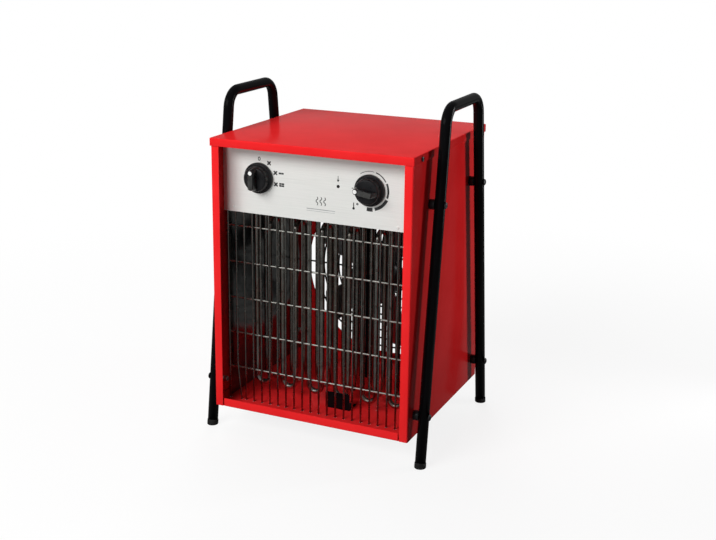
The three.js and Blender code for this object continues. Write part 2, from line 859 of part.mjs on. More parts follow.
function rearGuard() {
  const radius = guardWireDiameter / 2;
  const outerRing = airOpeningRadius + guardOverlap;
  const rodY = halfDepth + gap + radius;
  const ringY = rodY + guardWireDiameter - wireFusion;
  const lugRadius = outerRing + lugReach;
  const wires = [];
  for (let ringRadius = outerRing; ringRadius >= guardInnerRing; ringRadius -= guardRingPitch) {
    const steps = Math.max(16, 4 * Math.round(ringRadius / 18));
    const torus = new THREE.TorusGeometry(ringRadius, radius, 4, steps);
    wires.push(torus.rotateX(Math.PI / 2).translate(0, ringY, 0));
  }
  for (let arm = 0; arm < 4; arm += 1) {
    const reach = arm % 2 === 0 ? outerRing : lugRadius;
    const crossRod = rod('x', radius, -reach, reach, 4);
    wires.push(crossRod.translate(0, rodY, 0).rotateY((arm * Math.PI) / 4));
  }
  for (let corner = 0; corner < 4; corner += 1) {
    const angle = Math.PI / 4 + (corner * Math.PI) / 2;
    const lug = rod('y', lugDiameter / 2, rearPanelOuterY + gap, rodY + radius / 2, smallSides);
    wires.push(lug.translate(lugRadius * Math.cos(angle), 0, lugRadius * Math.sin(angle)));
  }
  return join(wires).translate(0, 0, motorAxisZ);
}
addMesh(heater, 'rear_guard', rearGuard(), paint.black);

// Motor on its upright strap, with the fan on the motor's shaft.

const fanFrontY = fanRearY - fanHubLength;
const bladeSweep = (bladeTipWidth / 2) * Math.sin(THREE.MathUtils.degToRad(bladePitch));
const motorRearY = (fanFrontY + fanRearY) / 2 - bladeSweep - motorNoseLength - 4 * gap;
const motorFrontY = motorRearY - motorLength;
const shaftFrontY = motorFrontY + motorLength / 4;

function motorBody() {
  const radius = motorDiameter / 2;
  const nose = motorNoseDiameter / 2;
  const can = spun([
    [0, 0],
    [radius * 0.8, 0],
    [radius, motorLength * 0.12],
    [radius, motorLength * 0.88],
    [radius * 0.8, motorLength],
    [nose, motorLength],
    [nose, motorLength + motorNoseLength],
    [0, motorLength + motorNoseLength],
  ], 2 * roundSides).rotateX(-Math.PI / 2).translate(0, motorFrontY, 0);
  const boreRadius = motorShaftDiameter / 2 + gap;
  const bore = rod('y', boreRadius, shaftFrontY - gap, fanRearY, roundSides);
  return cut(can, [bore]);
}

function motorStrap() {
  const face = motorFrontY - gap;
  const front = face - strapThickness;
  const bottom = floorTop + gap;
  const top = trayBottom - gap;
  const half = strapWidth / 2;
  return join([
    block(-half, half, front, face, bottom, top),
    block(-half, half, front, front + strapFoot, bottom, bottom + strapThickness),
    block(-half, half, front, front + strapFoot, top - strapThickness, top),
  ]);
}

function motorShaft() {
  return rod('y', motorShaftDiameter / 2, shaftFrontY, fanRearY - 2 * gap, roundSides);
}

function fan() {
  const hubRadius = fanHubDiameter / 2;
  const tip = airOpeningRadius - fanTipClearance;
  const hub = spun([
    [0, 0],
    [hubRadius, 0],
    [hubRadius, fanHubLength * 0.8],
    [hubRadius * 0.85, fanHubLength],
    [0, fanHubLength],
  ], 2 * roundSides);
  const blade = new THREE.Shape();
  blade.moveTo(hubRadius * 0.8, -bladeRootWidth / 2);
  blade.lineTo(tip * 0.93, -bladeTipWidth / 2);
  blade.quadraticCurveTo(tip * 1.07, 0, tip * 0.93, bladeTipWidth / 2);
  blade.lineTo(hubRadius * 0.8, bladeRootWidth / 2);
  const pieces = [hub];
  for (let index = 0; index < fanBladeCount; index += 1) {
    const sheetBlade = new THREE.ExtrudeGeometry(blade, {
      depth: bladeThickness,
      bevelEnabled: false,
      curveSegments: 4,
    });
    sheetBlade.translate(0, 0, -bladeThickness / 2).rotateX(THREE.MathUtils.degToRad(bladePitch));
    sheetBlade.translate(0, 0, fanHubLength / 2).rotateZ((circle * index) / fanBladeCount);
    pieces.push(sheetBlade);
  }
  const bore = rod('z', motorShaftDiameter / 2 + gap, -1, fanHubLength + 1, roundSides);
  return cut(join(pieces), [bore]).rotateX(-Math.PI / 2).translate(0, fanFrontY, 0);
}

for (const [name, geometry, material] of [
  ['motor_body', motorBody(), paint.motorCase],
  ['motor_shaft', motorShaft(), paint.zinc],
  ['fan', fan(), paint.fanSheet],
]) {
  addMesh(heater, name, geometry, material).position.z = motorAxisZ;
}
addMesh(heater, 'motor_strap', motorStrap(), paint.black);

// Supply side: the cable gland with its lock nut, the terminal block and the contactor.

function cableGland() {
  const thread = glandThreadDiameter / 2;
  const hex = glandHexDiameter / 2;
  const seat = rearPanelOuterY + gap;
  const inside = rearPanelInnerY - gap - glandNutThickness - 2 * sheet;
  const cap = spun([
    [0, 0],
    [hex * 0.86, 0],
    [hex * 0.86, glandCapLength * 0.6],
    [hex * 0.6, glandCapLength],
    [0, glandCapLength],
  ], roundSides).rotateX(-Math.PI / 2).translate(0, seat + glandHexThickness, 0);
  const body = join([
    rod('y', thread, inside, seat + sheet, roundSides),
    rod('y', hex, seat, seat + glandHexThickness, 6),
    cap,
  ]);
  const bore = rod('y', glandBoreDiameter / 2, inside - 1, glandReach + 1, roundSides);
  return cut(body, [bore]);
}

function glandNut() {
  const rear = rearPanelInnerY - gap;
  const hexagon = rod('y', glandHexDiameter / 2, rear - glandNutThickness, rear, 6);
  const bore = rod('y', glandThreadDiameter / 2 + glandClearance, 0, cabinetDepth, roundSides);
  return cut(hexagon, [bore]);
}
addMesh(heater, 'cable_gland', cableGland(), paint.blackPlastic).position.set(glandX, 0, controlAxisZ);
addMesh(heater, 'gland_nut', glandNut(), paint.blackPlastic).position.set(glandX, 0, controlAxisZ);

function terminalBlock() {
  const { x, y, z } = terminalBlockSize;
  const base = block(-x / 2, x / 2, -y / 2, y / 2, 0, z);
  const notches = [];
  const pole = x / terminalPoles;
  for (let index = 0; index < terminalPoles; index += 1) {
    const centre = (index - (terminalPoles - 1) / 2) * pole;
    const half = pole / 2 - sheet;
    notches.push(block(centre - half, centre + half, -y, -y / 4, z / 2, 2 * z));
    notches.push(block(centre - half, centre + half, y / 4, y, z / 2, 2 * z));
  }
  return cut(base, notches);
}

function contactor() {
  const { x, y, z } = contactorSize;
  return join([
    block(-x / 2, x / 2, -y / 2, y / 2, 0, z * 0.6),
    block(-x / 2, x / 2, -y / 3, y / 3, z * 0.5, z),
  ]);
}
addMesh(heater, 'terminal_block', terminalBlock(), paint.cream)
  .position.set(glandX - terminalBlockOffset, rearPanelInnerY - terminalBlockSetback, trayTop + gap);
addMesh(heater, 'contactor', contactor(), paint.cream)
  .position.set(contactorPlace.x, contactorPlace.y, trayTop + gap);

export default heater;
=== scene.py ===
import math

import bmesh
import bpy
from mathutils import Matrix, Quaternion, Vector


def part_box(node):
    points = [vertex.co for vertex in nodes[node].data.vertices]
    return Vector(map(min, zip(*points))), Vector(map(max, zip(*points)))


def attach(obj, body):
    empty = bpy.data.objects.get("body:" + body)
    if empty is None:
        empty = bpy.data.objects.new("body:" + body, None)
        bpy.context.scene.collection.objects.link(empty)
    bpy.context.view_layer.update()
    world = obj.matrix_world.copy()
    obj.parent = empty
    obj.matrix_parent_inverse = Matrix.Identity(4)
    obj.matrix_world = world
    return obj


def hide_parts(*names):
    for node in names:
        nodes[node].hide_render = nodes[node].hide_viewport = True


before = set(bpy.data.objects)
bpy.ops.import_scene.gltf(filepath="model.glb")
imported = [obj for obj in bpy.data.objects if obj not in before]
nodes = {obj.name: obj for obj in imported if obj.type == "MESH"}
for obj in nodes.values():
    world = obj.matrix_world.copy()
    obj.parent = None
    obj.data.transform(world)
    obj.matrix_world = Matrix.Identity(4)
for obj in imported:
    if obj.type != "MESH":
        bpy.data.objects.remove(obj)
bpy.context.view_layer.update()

# Forced air heater: folded red sheet, two bent tube frames, a wire grille and a round rear guard.
# Metres, +Z up, the front faces -Y.

scene = bpy.context.scene
print("frame loaded:", len(nodes), "nodes")

# camera, light and floor

cameraSet = {
    "place": (0.74317, -1.63558, 0.78332),
    "azimuth": 24.871,
    "elevation": 14.938,
    "roll": 0.53,
    "lens": 60.0,
    "sensor": 36,
    "shiftX": 0.0174,
    "shiftY": -0.0575,
    "clip": (0.05, 60),
}


def makeCamera():
    data = bpy.data.cameras.new("camera")
    data.lens = cameraSet["lens"]
    data.sensor_width = cameraSet["sensor"]
    data.shift_x = cameraSet["shiftX"]
    data.shift_y = cameraSet["shiftY"]
    data.clip_start, data.clip_end = cameraSet["clip"]
    camera = bpy.data.objects.new("camera", data)
    scene.collection.objects.link(camera)
    azimuth = math.radians(cameraSet["azimuth"])
    elevation = math.radians(cameraSet["elevation"])
    back = Vector((
        math.sin(azimuth) * math.cos(elevation),
        -math.cos(azimuth) * math.cos(elevation),
        math.sin(elevation),
    ))
    turn = (-back).to_track_quat("-Z", "Y")
    roll = Quaternion((0, 0, 1), math.radians(cameraSet["roll"]))
    camera.rotation_mode = "QUATERNION"
    camera.rotation_quaternion = turn @ roll
    camera.location = cameraSet["place"]
    scene.camera = camera


makeCamera()

# the strong lamps give plain light; only the weaker ones with shine are mirrored in gloss
lampSet = {
    "key": {"place": (-0.85, -2.55, 1.85), "size": (1.8, 1.1), "power": 67},
    "sheen": {"place": (-1.30, -2.60, 1.87), "size": (2.6, 1.3), "power": 20, "shine": True},
    "fill": {"place": (0.10, -2.4, 0.55), "size": (0.4, 0.5), "power": 13},
    "top": {"place": (-0.65, 0.3, 2.3), "size": (1.1, 1.0), "power": 15},
    "side": {
        "place": (0.62, 0.32, 0.38),
        "aim": (0.16, 0, 0.26),
        "size": (0.09, 0.70),
        "power": 0.75,
        "cone": 110,
        "shine": True,
    },
    "back": {"place": (-1.1, 2.4, 1.2), "size": (1.2, 1.2), "power": 40},
}


def makeLamp(name, place, size, power, aim=(0, 0, 0.25), cone=180, shine=False):
    data = bpy.data.lights.new(name, "AREA")
    data.shape = "RECTANGLE"
    data.size, data.size_y = size
    data.energy = power
    data.spread = math.radians(cone)
    lamp = bpy.data.objects.new(name, data)
    scene.collection.objects.link(lamp)
    lamp.location = place
    lamp.rotation_mode = "QUATERNION"
    lamp.rotation_quaternion = (Vector(aim) - Vector(place)).to_track_quat("-Z", "Y")
    lamp.visible_camera = False
    lamp.visible_glossy = shine


for name, lamp in lampSet.items():
    makeLamp(name, **lamp)


# node helpers


def addNode(tree, kind, inputs=None, **settings):
    node = tree.nodes.new(kind)
    for key, value in settings.items():
        setattr(node, key, value)
    for key, value in (inputs or {}).items():
        feed(tree, node, key, value)
    return node


def feed(tree, node, key, value):
    # links a socket, or sets a plain value
    if isinstance(value, bpy.types.NodeSocket):
        tree.links.new(value, node.inputs[key])
    else:
        node.inputs[key].default_value = value


def calculate(tree, operation, first, second):
    return addNode(tree, "ShaderNodeMath", {0: first, 1: second}, operation=operation).outputs[0]


def spread(tree, value, low, high, fromLow=0.0, fromHigh=1.0):
    # maps a value from one range to another
    inputs = {"Value": value, "From Min": fromLow, "From Max": fromHigh, "To Min": low, "To Max": high}
    return addNode(tree, "ShaderNodeMapRange", inputs).outputs[0]


def mixColour(tree, factor, first, second):
    mixer = addNode(tree, "ShaderNodeMix", {0: factor}, data_type="RGBA")
    for index, colour in ((6, first), (7, second)):    # the two colour sockets
        feed(tree, mixer, index, colour if isinstance(colour, bpy.types.NodeSocket) else (*colour, 1))
    return mixer.outputs[2]


def mixShaders(tree, share, first, second, out):
    mixed = addNode(tree, "ShaderNodeMixShader", {0: share, 1: first.outputs[0], 2: second.outputs[0]})
    tree.links.new(mixed.outputs[0], out.inputs["Surface"])


def shownRays(tree, glossShare):
    # how much of the white background each kind of ray sees; none for the soft light itself
    path = addNode(tree, "ShaderNodeLightPath")
    shares = {"Is Camera Ray": 1.0, "Is Transmission Ray": 1.0, "Is Glossy Ray": glossShare}
    total = 0.0
    for name, share in shares.items():
        part = calculate(tree, "MULTIPLY", path.outputs[name], share)
        total = calculate(tree, "MAXIMUM", part, total)
    return total


worldSet = {"soft": 0.04, "softColour": (0.94, 0.97, 1.0, 1), "glossShare": 0.22}


def makeWorld():
    world = bpy.data.worlds.new("studio")
    scene.world = world
    world.use_nodes = True
    tree = world.node_tree
    tree.nodes.clear()
    soft = {"Color": worldSet["softColour"], "Strength": worldSet["soft"]}
    dim = addNode(tree, "ShaderNodeBackground", soft)
    white = addNode(tree, "ShaderNodeBackground", {"Color": (1, 1, 1, 1), "Strength": 1.0})
    shown = shownRays(tree, worldSet["glossShare"])
    mixShaders(tree, shown, dim, white, addNode(tree, "ShaderNodeOutputWorld"))


makeWorld()

floorSet = {
    "half": 6.0,
    "shownColour": (0.88, 0.88, 0.88),
    "bounceColour": (0.13, 0.13, 0.13),
    "roughness": 0.7,
    "specular": 0.2,
    "glossShare": 0.07,
    "shownNear": 0.84,
    "nearRadius": 0.45,
    "farRadius": 1.3,
}


def makeFloorFinish():
    # keeps the shadow near the heater, and fades to plain white further out
    material = bpy.data.materials.new("pale_floor")
    material.use_nodes = True
    tree = material.node_tree
    shader = tree.nodes["Principled BSDF"]
    seen = addNode(tree, "ShaderNodeLightPath").outputs["Is Camera Ray"]
    colour = mixColour(tree, seen, floorSet["bounceColour"], floorSet["shownColour"])
    feed(tree, shader, "Base Color", colour)
    feed(tree, shader, "Roughness", floorSet["roughness"])
    feed(tree, shader, "Specular IOR Level", floorSet["specular"])
    glow = addNode(tree, "ShaderNodeEmission", {"Color": (1, 1, 1, 1), "Strength": 1.0})
    place = addNode(tree, "ShaderNodeTexCoord").outputs["Object"]
    away = addNode(tree, "ShaderNodeVectorMath", {0: place}, operation="LENGTH").outputs["Value"]
    fade = spread(tree, away, floorSet["shownNear"], 1.0, floorSet["nearRadius"], floorSet["farRadius"])
    share = calculate(tree, "MULTIPLY", shownRays(tree, floorSet["glossShare"]), fade)
    mixShaders(tree, share, shader, glow, tree.nodes["Material Output"])
    return material


def makeFloor():
    bm = bmesh.new()
    bmesh.ops.create_grid(bm, x_segments=1, y_segments=1, size=floorSet["half"])
    mesh = bpy.data.meshes.new("floor")
    bm.to_mesh(mesh)
    bm.free()
    mesh.materials.append(makeFloorFinish())
    floor = bpy.data.objects.new("floor", mesh)
    scene.collection.objects.link(floor)


makeFloor()
print("camera, lamps and floor made")


# finishes


def newFinish(name, colour, roughness, metallic=0.0, ior=1.45):
    material = bpy.data.materials.new(name)
    material.use_nodes = True
    tree = material.node_tree
    shader = tree.nodes["Principled BSDF"]
    feed(tree, shader, "Base Color", (*colour, 1))
    feed(tree, shader, "Roughness", roughness)
    feed(tree, shader, "Metallic", metallic)
    feed(tree, shader, "IOR", ior)
    return material, tree, shader


def objectPlace(tree, scale=(1, 1, 1)):
    place = addNode(tree, "ShaderNodeTexCoord").outputs["Object"]
    return addNode(tree, "ShaderNodeMapping", {"Vector": place, "Scale": scale}).outputs[0]


def noise(tree, vector, scale, detail=3.0, rough=0.5):
    inputs = {"Vector": vector, "Scale": scale, "Detail": detail, "Roughness": rough}
    return addNode(tree, "ShaderNodeTexNoise", inputs).outputs["Fac"]


def addBump(tree, shader, height, strength, distance):
    bump = addNode(tree, "ShaderNodeBump", {"Height": height, "Strength": strength, "Distance": distance})
    feed(tree, shader, "Normal", bump.outputs[0])


def makeRedPaint():
    # gloss powder coat: faint orange peel, slightly uneven colour, dull specks of dust
    deep, bright, dusty = (0.77, 0.017, 0.019), (0.83, 0.023, 0.025), (0.70, 0.09, 0.09)
    material, tree, shader = newFinish("gloss_red_paint", (0.80, 0.020, 0.022), roughness=0.16, ior=1.10)
    place = objectPlace(tree)
    cloud = spread(tree, noise(tree, place, scale=14, detail=4), 0, 1, fromLow=0.35, fromHigh=0.65)
    colour = mixColour(tree, cloud, deep, bright)
    dust = spread(tree, noise(tree, place, scale=900, detail=2), 0, 0.5, fromLow=0.68, fromHigh=0.78)
    feed(tree, shader, "Base Color", mixColour(tree, dust, colour, dusty))
    dull = noise(tree, place, scale=38, detail=5, rough=0.6)
    feed(tree, shader, "Roughness", spread(tree, dull, low=0.11, high=0.20, fromLow=0.3, fromHigh=0.7))
    peel = noise(tree, place, scale=520, detail=2)
    addBump(tree, shader, peel, strength=0.18, distance=0.0002)
    return material


def makeBlackPaint():
    # gloss powder coat, with scuffs drawn out along the legs
    deep, scuffed = (0.0025, 0.0025, 0.003), (0.007, 0.007, 0.0075)
    material, tree, shader = newFinish("gloss_black_paint", (0.004, 0.004, 0.005), roughness=0.2, ior=1.17)
    drawn = objectPlace(tree, (1, 1, 0.25))
    marks = noise(tree, drawn, scale=160, detail=5, rough=0.65)
    scuff = spread(tree, marks, 0, 1, fromLow=0.58, fromHigh=0.78)
    feed(tree, shader, "Base Color", mixColour(tree, scuff, deep, scuffed))
    feed(tree, shader, "Roughness", spread(tree, scuff, low=0.18, high=0.40))
    peel = noise(tree, objectPlace(tree), scale=600, detail=2)
    addBump(tree, shader, peel, strength=0.15, distance=0.0002)
    return material


def makeBrushedPlate():
    # long fine scratches along X, with soft cloudy patches
    groove, ridge, patch = (0.75, 0.76, 0.73), (0.90, 0.91, 0.875), (0.85, 0.84, 0.82)
    material, tree, shader = newFinish("brushed_plate", (0.82, 0.83, 0.80), 0.46, metallic=0.22, ior=1.3)
    streaks = noise(tree, objectPlace(tree, (14, 1, 2600)), scale=1, detail=4, rough=0.7)
    grain = spread(tree, streaks, 0, 1, fromLow=0.3, fromHigh=0.7)
    shade = mixColour(tree, grain, groove, ridge)
    haze = noise(tree, objectPlace(tree), scale=26, detail=4, rough=0.6)
    cloud = spread(tree, haze, 0, 0.5, fromLow=0.4, fromHigh=0.7)
    feed(tree, shader, "Base Color", mixColour(tree, cloud, shade, patch))
    feed(tree, shader, "Roughness", spread(tree, streaks, low=0.30, high=0.46, fromLow=0.3, fromHigh=0.7))
    addBump(tree, shader, streaks, strength=0.25, distance=0.00008)
    return material


def makeSteel(name, dark, light, roughness, grain=900, tint=None, rise=0.2):
    # drawn or plated steel with a fine uneven skin, and heat colour where a tint is given
    material, tree, shader = newFinish(name, light, roughness, metallic=1.0)
    place = objectPlace(tree)
    skin = noise(tree, place, scale=70, detail=5, rough=0.62)
    cloud = spread(tree, skin, 0, 1, fromLow=0.32, fromHigh=0.68)
    colour = mixColour(tree, cloud, dark, light)
    if tint:
        drawn = objectPlace(tree, (1, 1, 0.3))
        heat = spread(tree, noise(tree, drawn, scale=24, detail=2), 0, 0.75, fromLow=0.45, fromHigh=0.66)
        colour = mixColour(tree, heat, colour, tint)
    feed(tree, shader, "Base Color", colour)
    feed(tree, shader, "Roughness", spread(tree, cloud, roughness * 0.8, roughness * 1.3))
    addBump(tree, shader, noise(tree, place, grain), strength=rise, distance=0.0001)
    return material


def makePlastic(name, dark, light, roughness, grain=1400, ior=1.36):
    # moulded plastic with a spark-eroded grain; also used for print and blackened screws
    material, tree, shader = newFinish(name, light, roughness, ior=ior)
    place = objectPlace(tree)
    cloud = spread(tree, noise(tree, place, scale=90, detail=4), 0, 1, fromLow=0.35, fromHigh=0.65)
    feed(tree, shader, "Base Color", mixColour(tree, cloud, dark, light))
    feed(tree, shader, "Roughness", spread(tree, cloud, roughness * 0.85, roughness * 1.15))
    addBump(tree, shader, noise(tree, place, grain, rough=0.6), strength=0.3, distance=0.0001)
    return material


# steels and plastics: dark and light shade, roughness, then the scale of the grain
finish = {
    "redPaint": makeRedPaint(),
    "blackPaint": makeBlackPaint(),
    "brushedPlate": makeBrushedPlate(),
    # one steel for all the wires, in two copies: the uprights painted darker as a painted dark reflection,
    # the cross wires lighter as a painted sheen
    "uprightWirePaintedShade": makeSteel("grille_wire", (0.17, 0.17, 0.155), (0.30, 0.30, 0.275), 0.24, 500, rise=0.06),
    "crossWirePaintedSheen": makeSteel("cross_wire_painted_sheen", (0.56, 0.56, 0.51), (0.86, 0.86, 0.79), 0.26, 500, rise=0.06),
    "elementSheath": makeSteel("element_sheath", (0.24, 0.236, 0.22), (0.46, 0.45, 0.415), 0.15, 400,
                               tint=(0.34, 0.26, 0.21), rise=0.08),
    "zincPlate": makeSteel("zinc_plate", (0.42, 0.42, 0.40), (0.56, 0.56, 0.53), 0.34),
    # the heat shield's steel is painted very dark: painted shade for the dim inside of the cabinet
    "polishedSheetPaintedShade": makeSteel("polished_sheet", (0.13, 0.132, 0.126), (0.18, 0.184, 0.176), 0.13, 300),
    "fanSheet": makeSteel("fan_sheet", (0.30, 0.31, 0.32), (0.46, 0.47, 0.48), 0.36),
    "copper": makeSteel("drawn_copper", (0.50, 0.20, 0.10), (0.68, 0.30, 0.16), 0.28),
    "motorCase": makePlastic("motor_case", (0.035, 0.037, 0.040), (0.060, 0.062, 0.066), 0.42, 700),
    "blackPlastic": makePlastic("black_plastic", (0.007, 0.007, 0.008), (0.013, 0.013, 0.014), 0.3),
    "footPlastic": makePlastic("foot_plastic", (0.008, 0.008, 0.008), (0.016, 0.016, 0.016), 0.55, 900, 1.3),
    # a lighter grey for the ribs on the knobs' grips
    "lighterGripPlastic": makePlastic("lighter_grip_plastic", (0.040, 0.040, 0.039), (0.075, 0.075, 0.072), 0.5),
    "creamPlastic": makePlastic("cream_plastic", (0.58, 0.54, 0.43), (0.66, 0.62, 0.50), 0.5),
    "darkBolt": makePlastic("dark_bolt", (0.014, 0.014, 0.016), (0.026, 0.026, 0.029), 0.28, 1100, 1.4),
    "whiteInlay": makePlastic("white_inlay", (0.78, 0.78, 0.76), (0.84, 0.84, 0.82), 0.4),
    "darkPrint": makePlastic("dark_print", (0.020, 0.021, 0.022), (0.045, 0.046, 0.047), 0.5),
    "greyPrint": makePlastic("grey_print", (0.30, 0.31, 0.31), (0.42, 0.43, 0.43), 0.5),
}
print("finishes made:", len(finish))


# shaping helpers

touching = 1e-6    # points closer than this count as one

def boxAt(low, high):
    low, high = Vector(low), Vector(high)
    size = high - low
    return Matrix.Translation((low + high) / 2) @ Matrix.Diagonal((*size, 1))


def edgesOf(verts):
    return list({edge for vert in verts for edge in vert.link_edges})


def onlyVerts(geom):
    return [item for item in geom if isinstance(item, bmesh.types.BMVert)]


def onlyEdges(geom):
    return [item for item in geom if isinstance(item, bmesh.types.BMEdge)]


def sharpEdges(edges, angle=60):
    limit = math.radians(angle)
    return [edge for edge in edges if len(edge.link_faces) == 2 and edge.calc_face_angle(0) > limit]


def roundEdges(bm, edges, offset, segments=2):
    bmesh.ops.bevel(bm, geom=edges, offset=offset, segments=segments, profile=0.5, affect="EDGES",
                    material=-1, clamp_overlap=True)


def addBox(bm, low, high, soft=0.0, segments=2):
    made = bmesh.ops.create_cube(bm, size=1, matrix=boxAt(low, high))["verts"]
    if soft:
        roundEdges(bm, edgesOf(made), soft, segments)


def addRod(bm, start, end, radius, sides=16, soft=0.0):
    # a straight bar with flat or rounded ends
    start, end = Vector(start), Vector(end)
    way = end - start
    matrix = Matrix.Translation((start + end) / 2) @ way.to_track_quat("Z", "Y").to_matrix().to_4x4()
    made = bmesh.ops.create_cone(bm, cap_ends=True, segments=sides, radius1=radius, radius2=radius,
                                 depth=way.length, matrix=matrix)["verts"]
    if soft:
        roundEdges(bm, sharpEdges(edgesOf(made)), soft)
    return made


def addBentTube(bm, corners, bends, radius, sides=24, steps=10, capped=True, flatten=0.0):
    # extrudes a ring along each straight run and spins it round each bend
    way = [Vector(corner) for corner in corners]
    first = (way[1] - way[0]).normalized()
    matrix = Matrix.Translation(way[0]) @ first.to_track_quat("Z", "Y").to_matrix().to_4x4()
    ring = bmesh.ops.create_circle(bm, cap_ends=capped, radius=radius, segments=sides, matrix=matrix)
    edges = edgesOf(ring["verts"])
    here = way[0]

    def runTo(target):
        nonlocal edges, here
        made = bmesh.ops.extrude_edge_only(bm, edges=edges)["geom"]
        bmesh.ops.translate(bm, verts=onlyVerts(made), vec=target - here)
        fresh = set(onlyVerts(made))
        edges = [edge for edge in onlyEdges(made) if all(vert in fresh for vert in edge.verts)]
        here = target.copy()

    for index in range(1, len(way) - 1):
        into = (way[index] - way[index - 1]).normalized()
        out = (way[index + 1] - way[index]).normalized()
        angle = into.angle(out)
        bend = bends[index - 1]
        runTo(way[index] - into * bend * math.tan(angle / 2))
        axis = into.cross(out).normalized()
        inward = axis.cross(into)
        centre = here + inward * bend
        before = set(bm.verts)
        verts = list({vert for edge in edges for vert in edge.verts})
        spun = bmesh.ops.spin(bm, geom=verts + edges, cent=centre, axis=axis, dvec=(0, 0, 0), angle=angle,
                              steps=steps, use_merge=False, use_normal_flip=False, use_duplicate=False)
        if flatten:
            squeezeBend(set(bm.verts) - before, centre, axis, bend, inward, angle, flatten)
        edges = onlyEdges(spun["geom_last"])
        here = centre + Quaternion(axis, angle) @ (-inward * bend)
    runTo(way[-1])
    if capped:
        bmesh.ops.contextual_create(bm, geom=edges)


def squeezeBend(verts, centre, axis, bend, inward, angle, share):
    # the inner side of a press bend flattens a little, most in the middle of the bend
    for vert in verts:
        arm = vert.co - centre
        height = arm.dot(axis)
        flat = arm - axis * height
        turned = (-inward).angle(flat)
        fade = math.sin(math.pi * min(turned / angle, 1.0))
        inside = bend - flat.length
        if inside > 0:
            vert.co = centre + axis * height + flat.normalized() * (bend - inside * (1 - share * fade))


def addLathe(bm, points, matrix, steps=48):
    # spins a profile of (radius, height) points a full turn about Z, then puts it in place
    before = set(bm.verts)
    verts = [bm.verts.new((radius, 0, height)) for radius, height in points]
    edges = [bm.edges.new(pair) for pair in zip(verts, verts[1:])]
    bmesh.ops.spin(bm, geom=verts + edges, cent=(0, 0, 0), axis=(0, 0, 1), dvec=(0, 0, 0), angle=math.tau,
                   steps=steps, use_merge=True, use_normal_flip=False, use_duplicate=False)
    spun = [vert for vert in bm.verts if vert not in before]
    bmesh.ops.remove_doubles(bm, verts=spun, dist=touching)
    made = [vert for vert in bm.verts if vert not in before]
    faces = list({face for vert in made for face in vert.link_faces})
    bmesh.ops.recalc_face_normals(bm, faces=faces)
    bmesh.ops.transform(bm, matrix=matrix, verts=made)


def arc(centre, radius, start, end, steps):
    # points on an arc in a profile, in degrees from the outward direction
    points = []
    for step in range(steps + 1):
        angle = math.radians(start + (end - start) * step / steps)
        points.append((centre[0] + radius * math.cos(angle), centre[1] + radius * math.sin(angle)))
    return points


def mergeInto(bm, part):
    # adds a separate shape to a bigger one
    mesh = bpy.data.meshes.new("part")
    part.to_mesh(mesh)
    part.free()
    bm.from_mesh(mesh)
    bpy.data.meshes.remove(mesh)


def makePiece(name, bm, material, body, replaced=(), smooth=35, recalc=True):
    if recalc:
        bmesh.ops.recalc_face_normals(bm, faces=bm.faces)
    mesh = bpy.data.meshes.new(name)
    bm.to_mesh(mesh)
    bm.free()
    mesh.materials.append(finish[material])
    mesh.shade_smooth()
    mesh.set_sharp_from_angle(angle=math.radians(smooth))
    piece = bpy.data.objects.new(name, mesh)
    scene.collection.objects.link(piece)
    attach(piece, body)
    if replaced:
        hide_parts(*replaced)
    return piece


def applyModifiers(piece):
    # bakes the modifiers into the mesh
    bpy.context.view_layer.update()
    shown = piece.evaluated_get(bpy.context.evaluated_depsgraph_get())
    mesh = bpy.data.meshes.new_from_object(shown)
    piece.modifiers.clear()
    old = piece.data
    piece.data = mesh
    bpy.data.meshes.remove(old)


def cutAway(piece, bm, smooth=35):
    # cuts the closed shapes in bm out of the piece, and marks its sharp edges again
    bmesh.ops.recalc_face_normals(bm, faces=bm.faces)
    mesh = bpy.data.meshes.new("cutter")
    bm.to_mesh(mesh)
    bm.free()
    cutter = bpy.data.objects.new("cutter", mesh)
    scene.collection.objects.link(cutter)
    modifier = piece.modifiers.new("cut", "BOOLEAN")
    modifier.object = cutter
    modifier.operation = "DIFFERENCE"
    modifier.solver = "EXACT"
    applyModifiers(piece)
    bpy.data.objects.remove(cutter)
    bpy.data.meshes.remove(mesh)
    piece.data.set_sharp_from_angle(angle=math.radians(smooth))


def thicken(piece, thickness):
    # gives a sheet its wall, inwards from the face that shows
    wall = piece.modifiers.new("wall", "SOLIDIFY")
    wall.thickness = thickness
    wall.offset = -1
    wall.use_even_offset = True


def softenEdges(piece, width, segments=2, angle=40):
    soft = piece.modifiers.new("edges", "BEVEL")
    soft.width = width
    soft.segments = segments
    soft.limit_method = "ANGLE"
    soft.angle_limit = math.radians(angle)


def faceOutwards(bm, centre):
    # an open sheet is turned so that its faces look away from the centre
    score = 0.0
    for face in bm.faces:
        score += (face.calc_center_median() - centre).dot(face.normal) * face.calc_area()
    if score < 0:
        bmesh.ops.reverse_faces(bm, faces=bm.faces)


cabinetLow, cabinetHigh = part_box("right_side_panel")
cabinetMiddle = Vector((0, (cabinetLow.y + cabinetHigh.y) / 2, (cabinetLow.z + cabinetHigh.z) / 2))
halfTurn = Matrix.Translation((0, 2 * cabinetMiddle.y, 0)) @ Matrix.Rotation(math.pi, 4, "Z")


def turnToSide(bm, side):
    # pieces are made on the right and turned half round for the left
    if side == "left":
        bmesh.ops.transform(bm, matrix=halfTurn, verts=bm.verts)


def endName(side, end):
    # the front or rear name of a place at -1 or 1 on the right, as seen after the half turn
    return "front" if (end < 0) == (side == "right") else "rear"


# red sheet metal

sheetSet = {
    "thickness": 0.0012,
    "fold": 0.0022,
    "foldSteps": 6,
    "postWidth": 0.013,
    "edge": 0.00025,
    "gap": 0.0003,
    "through": 0.01,
}


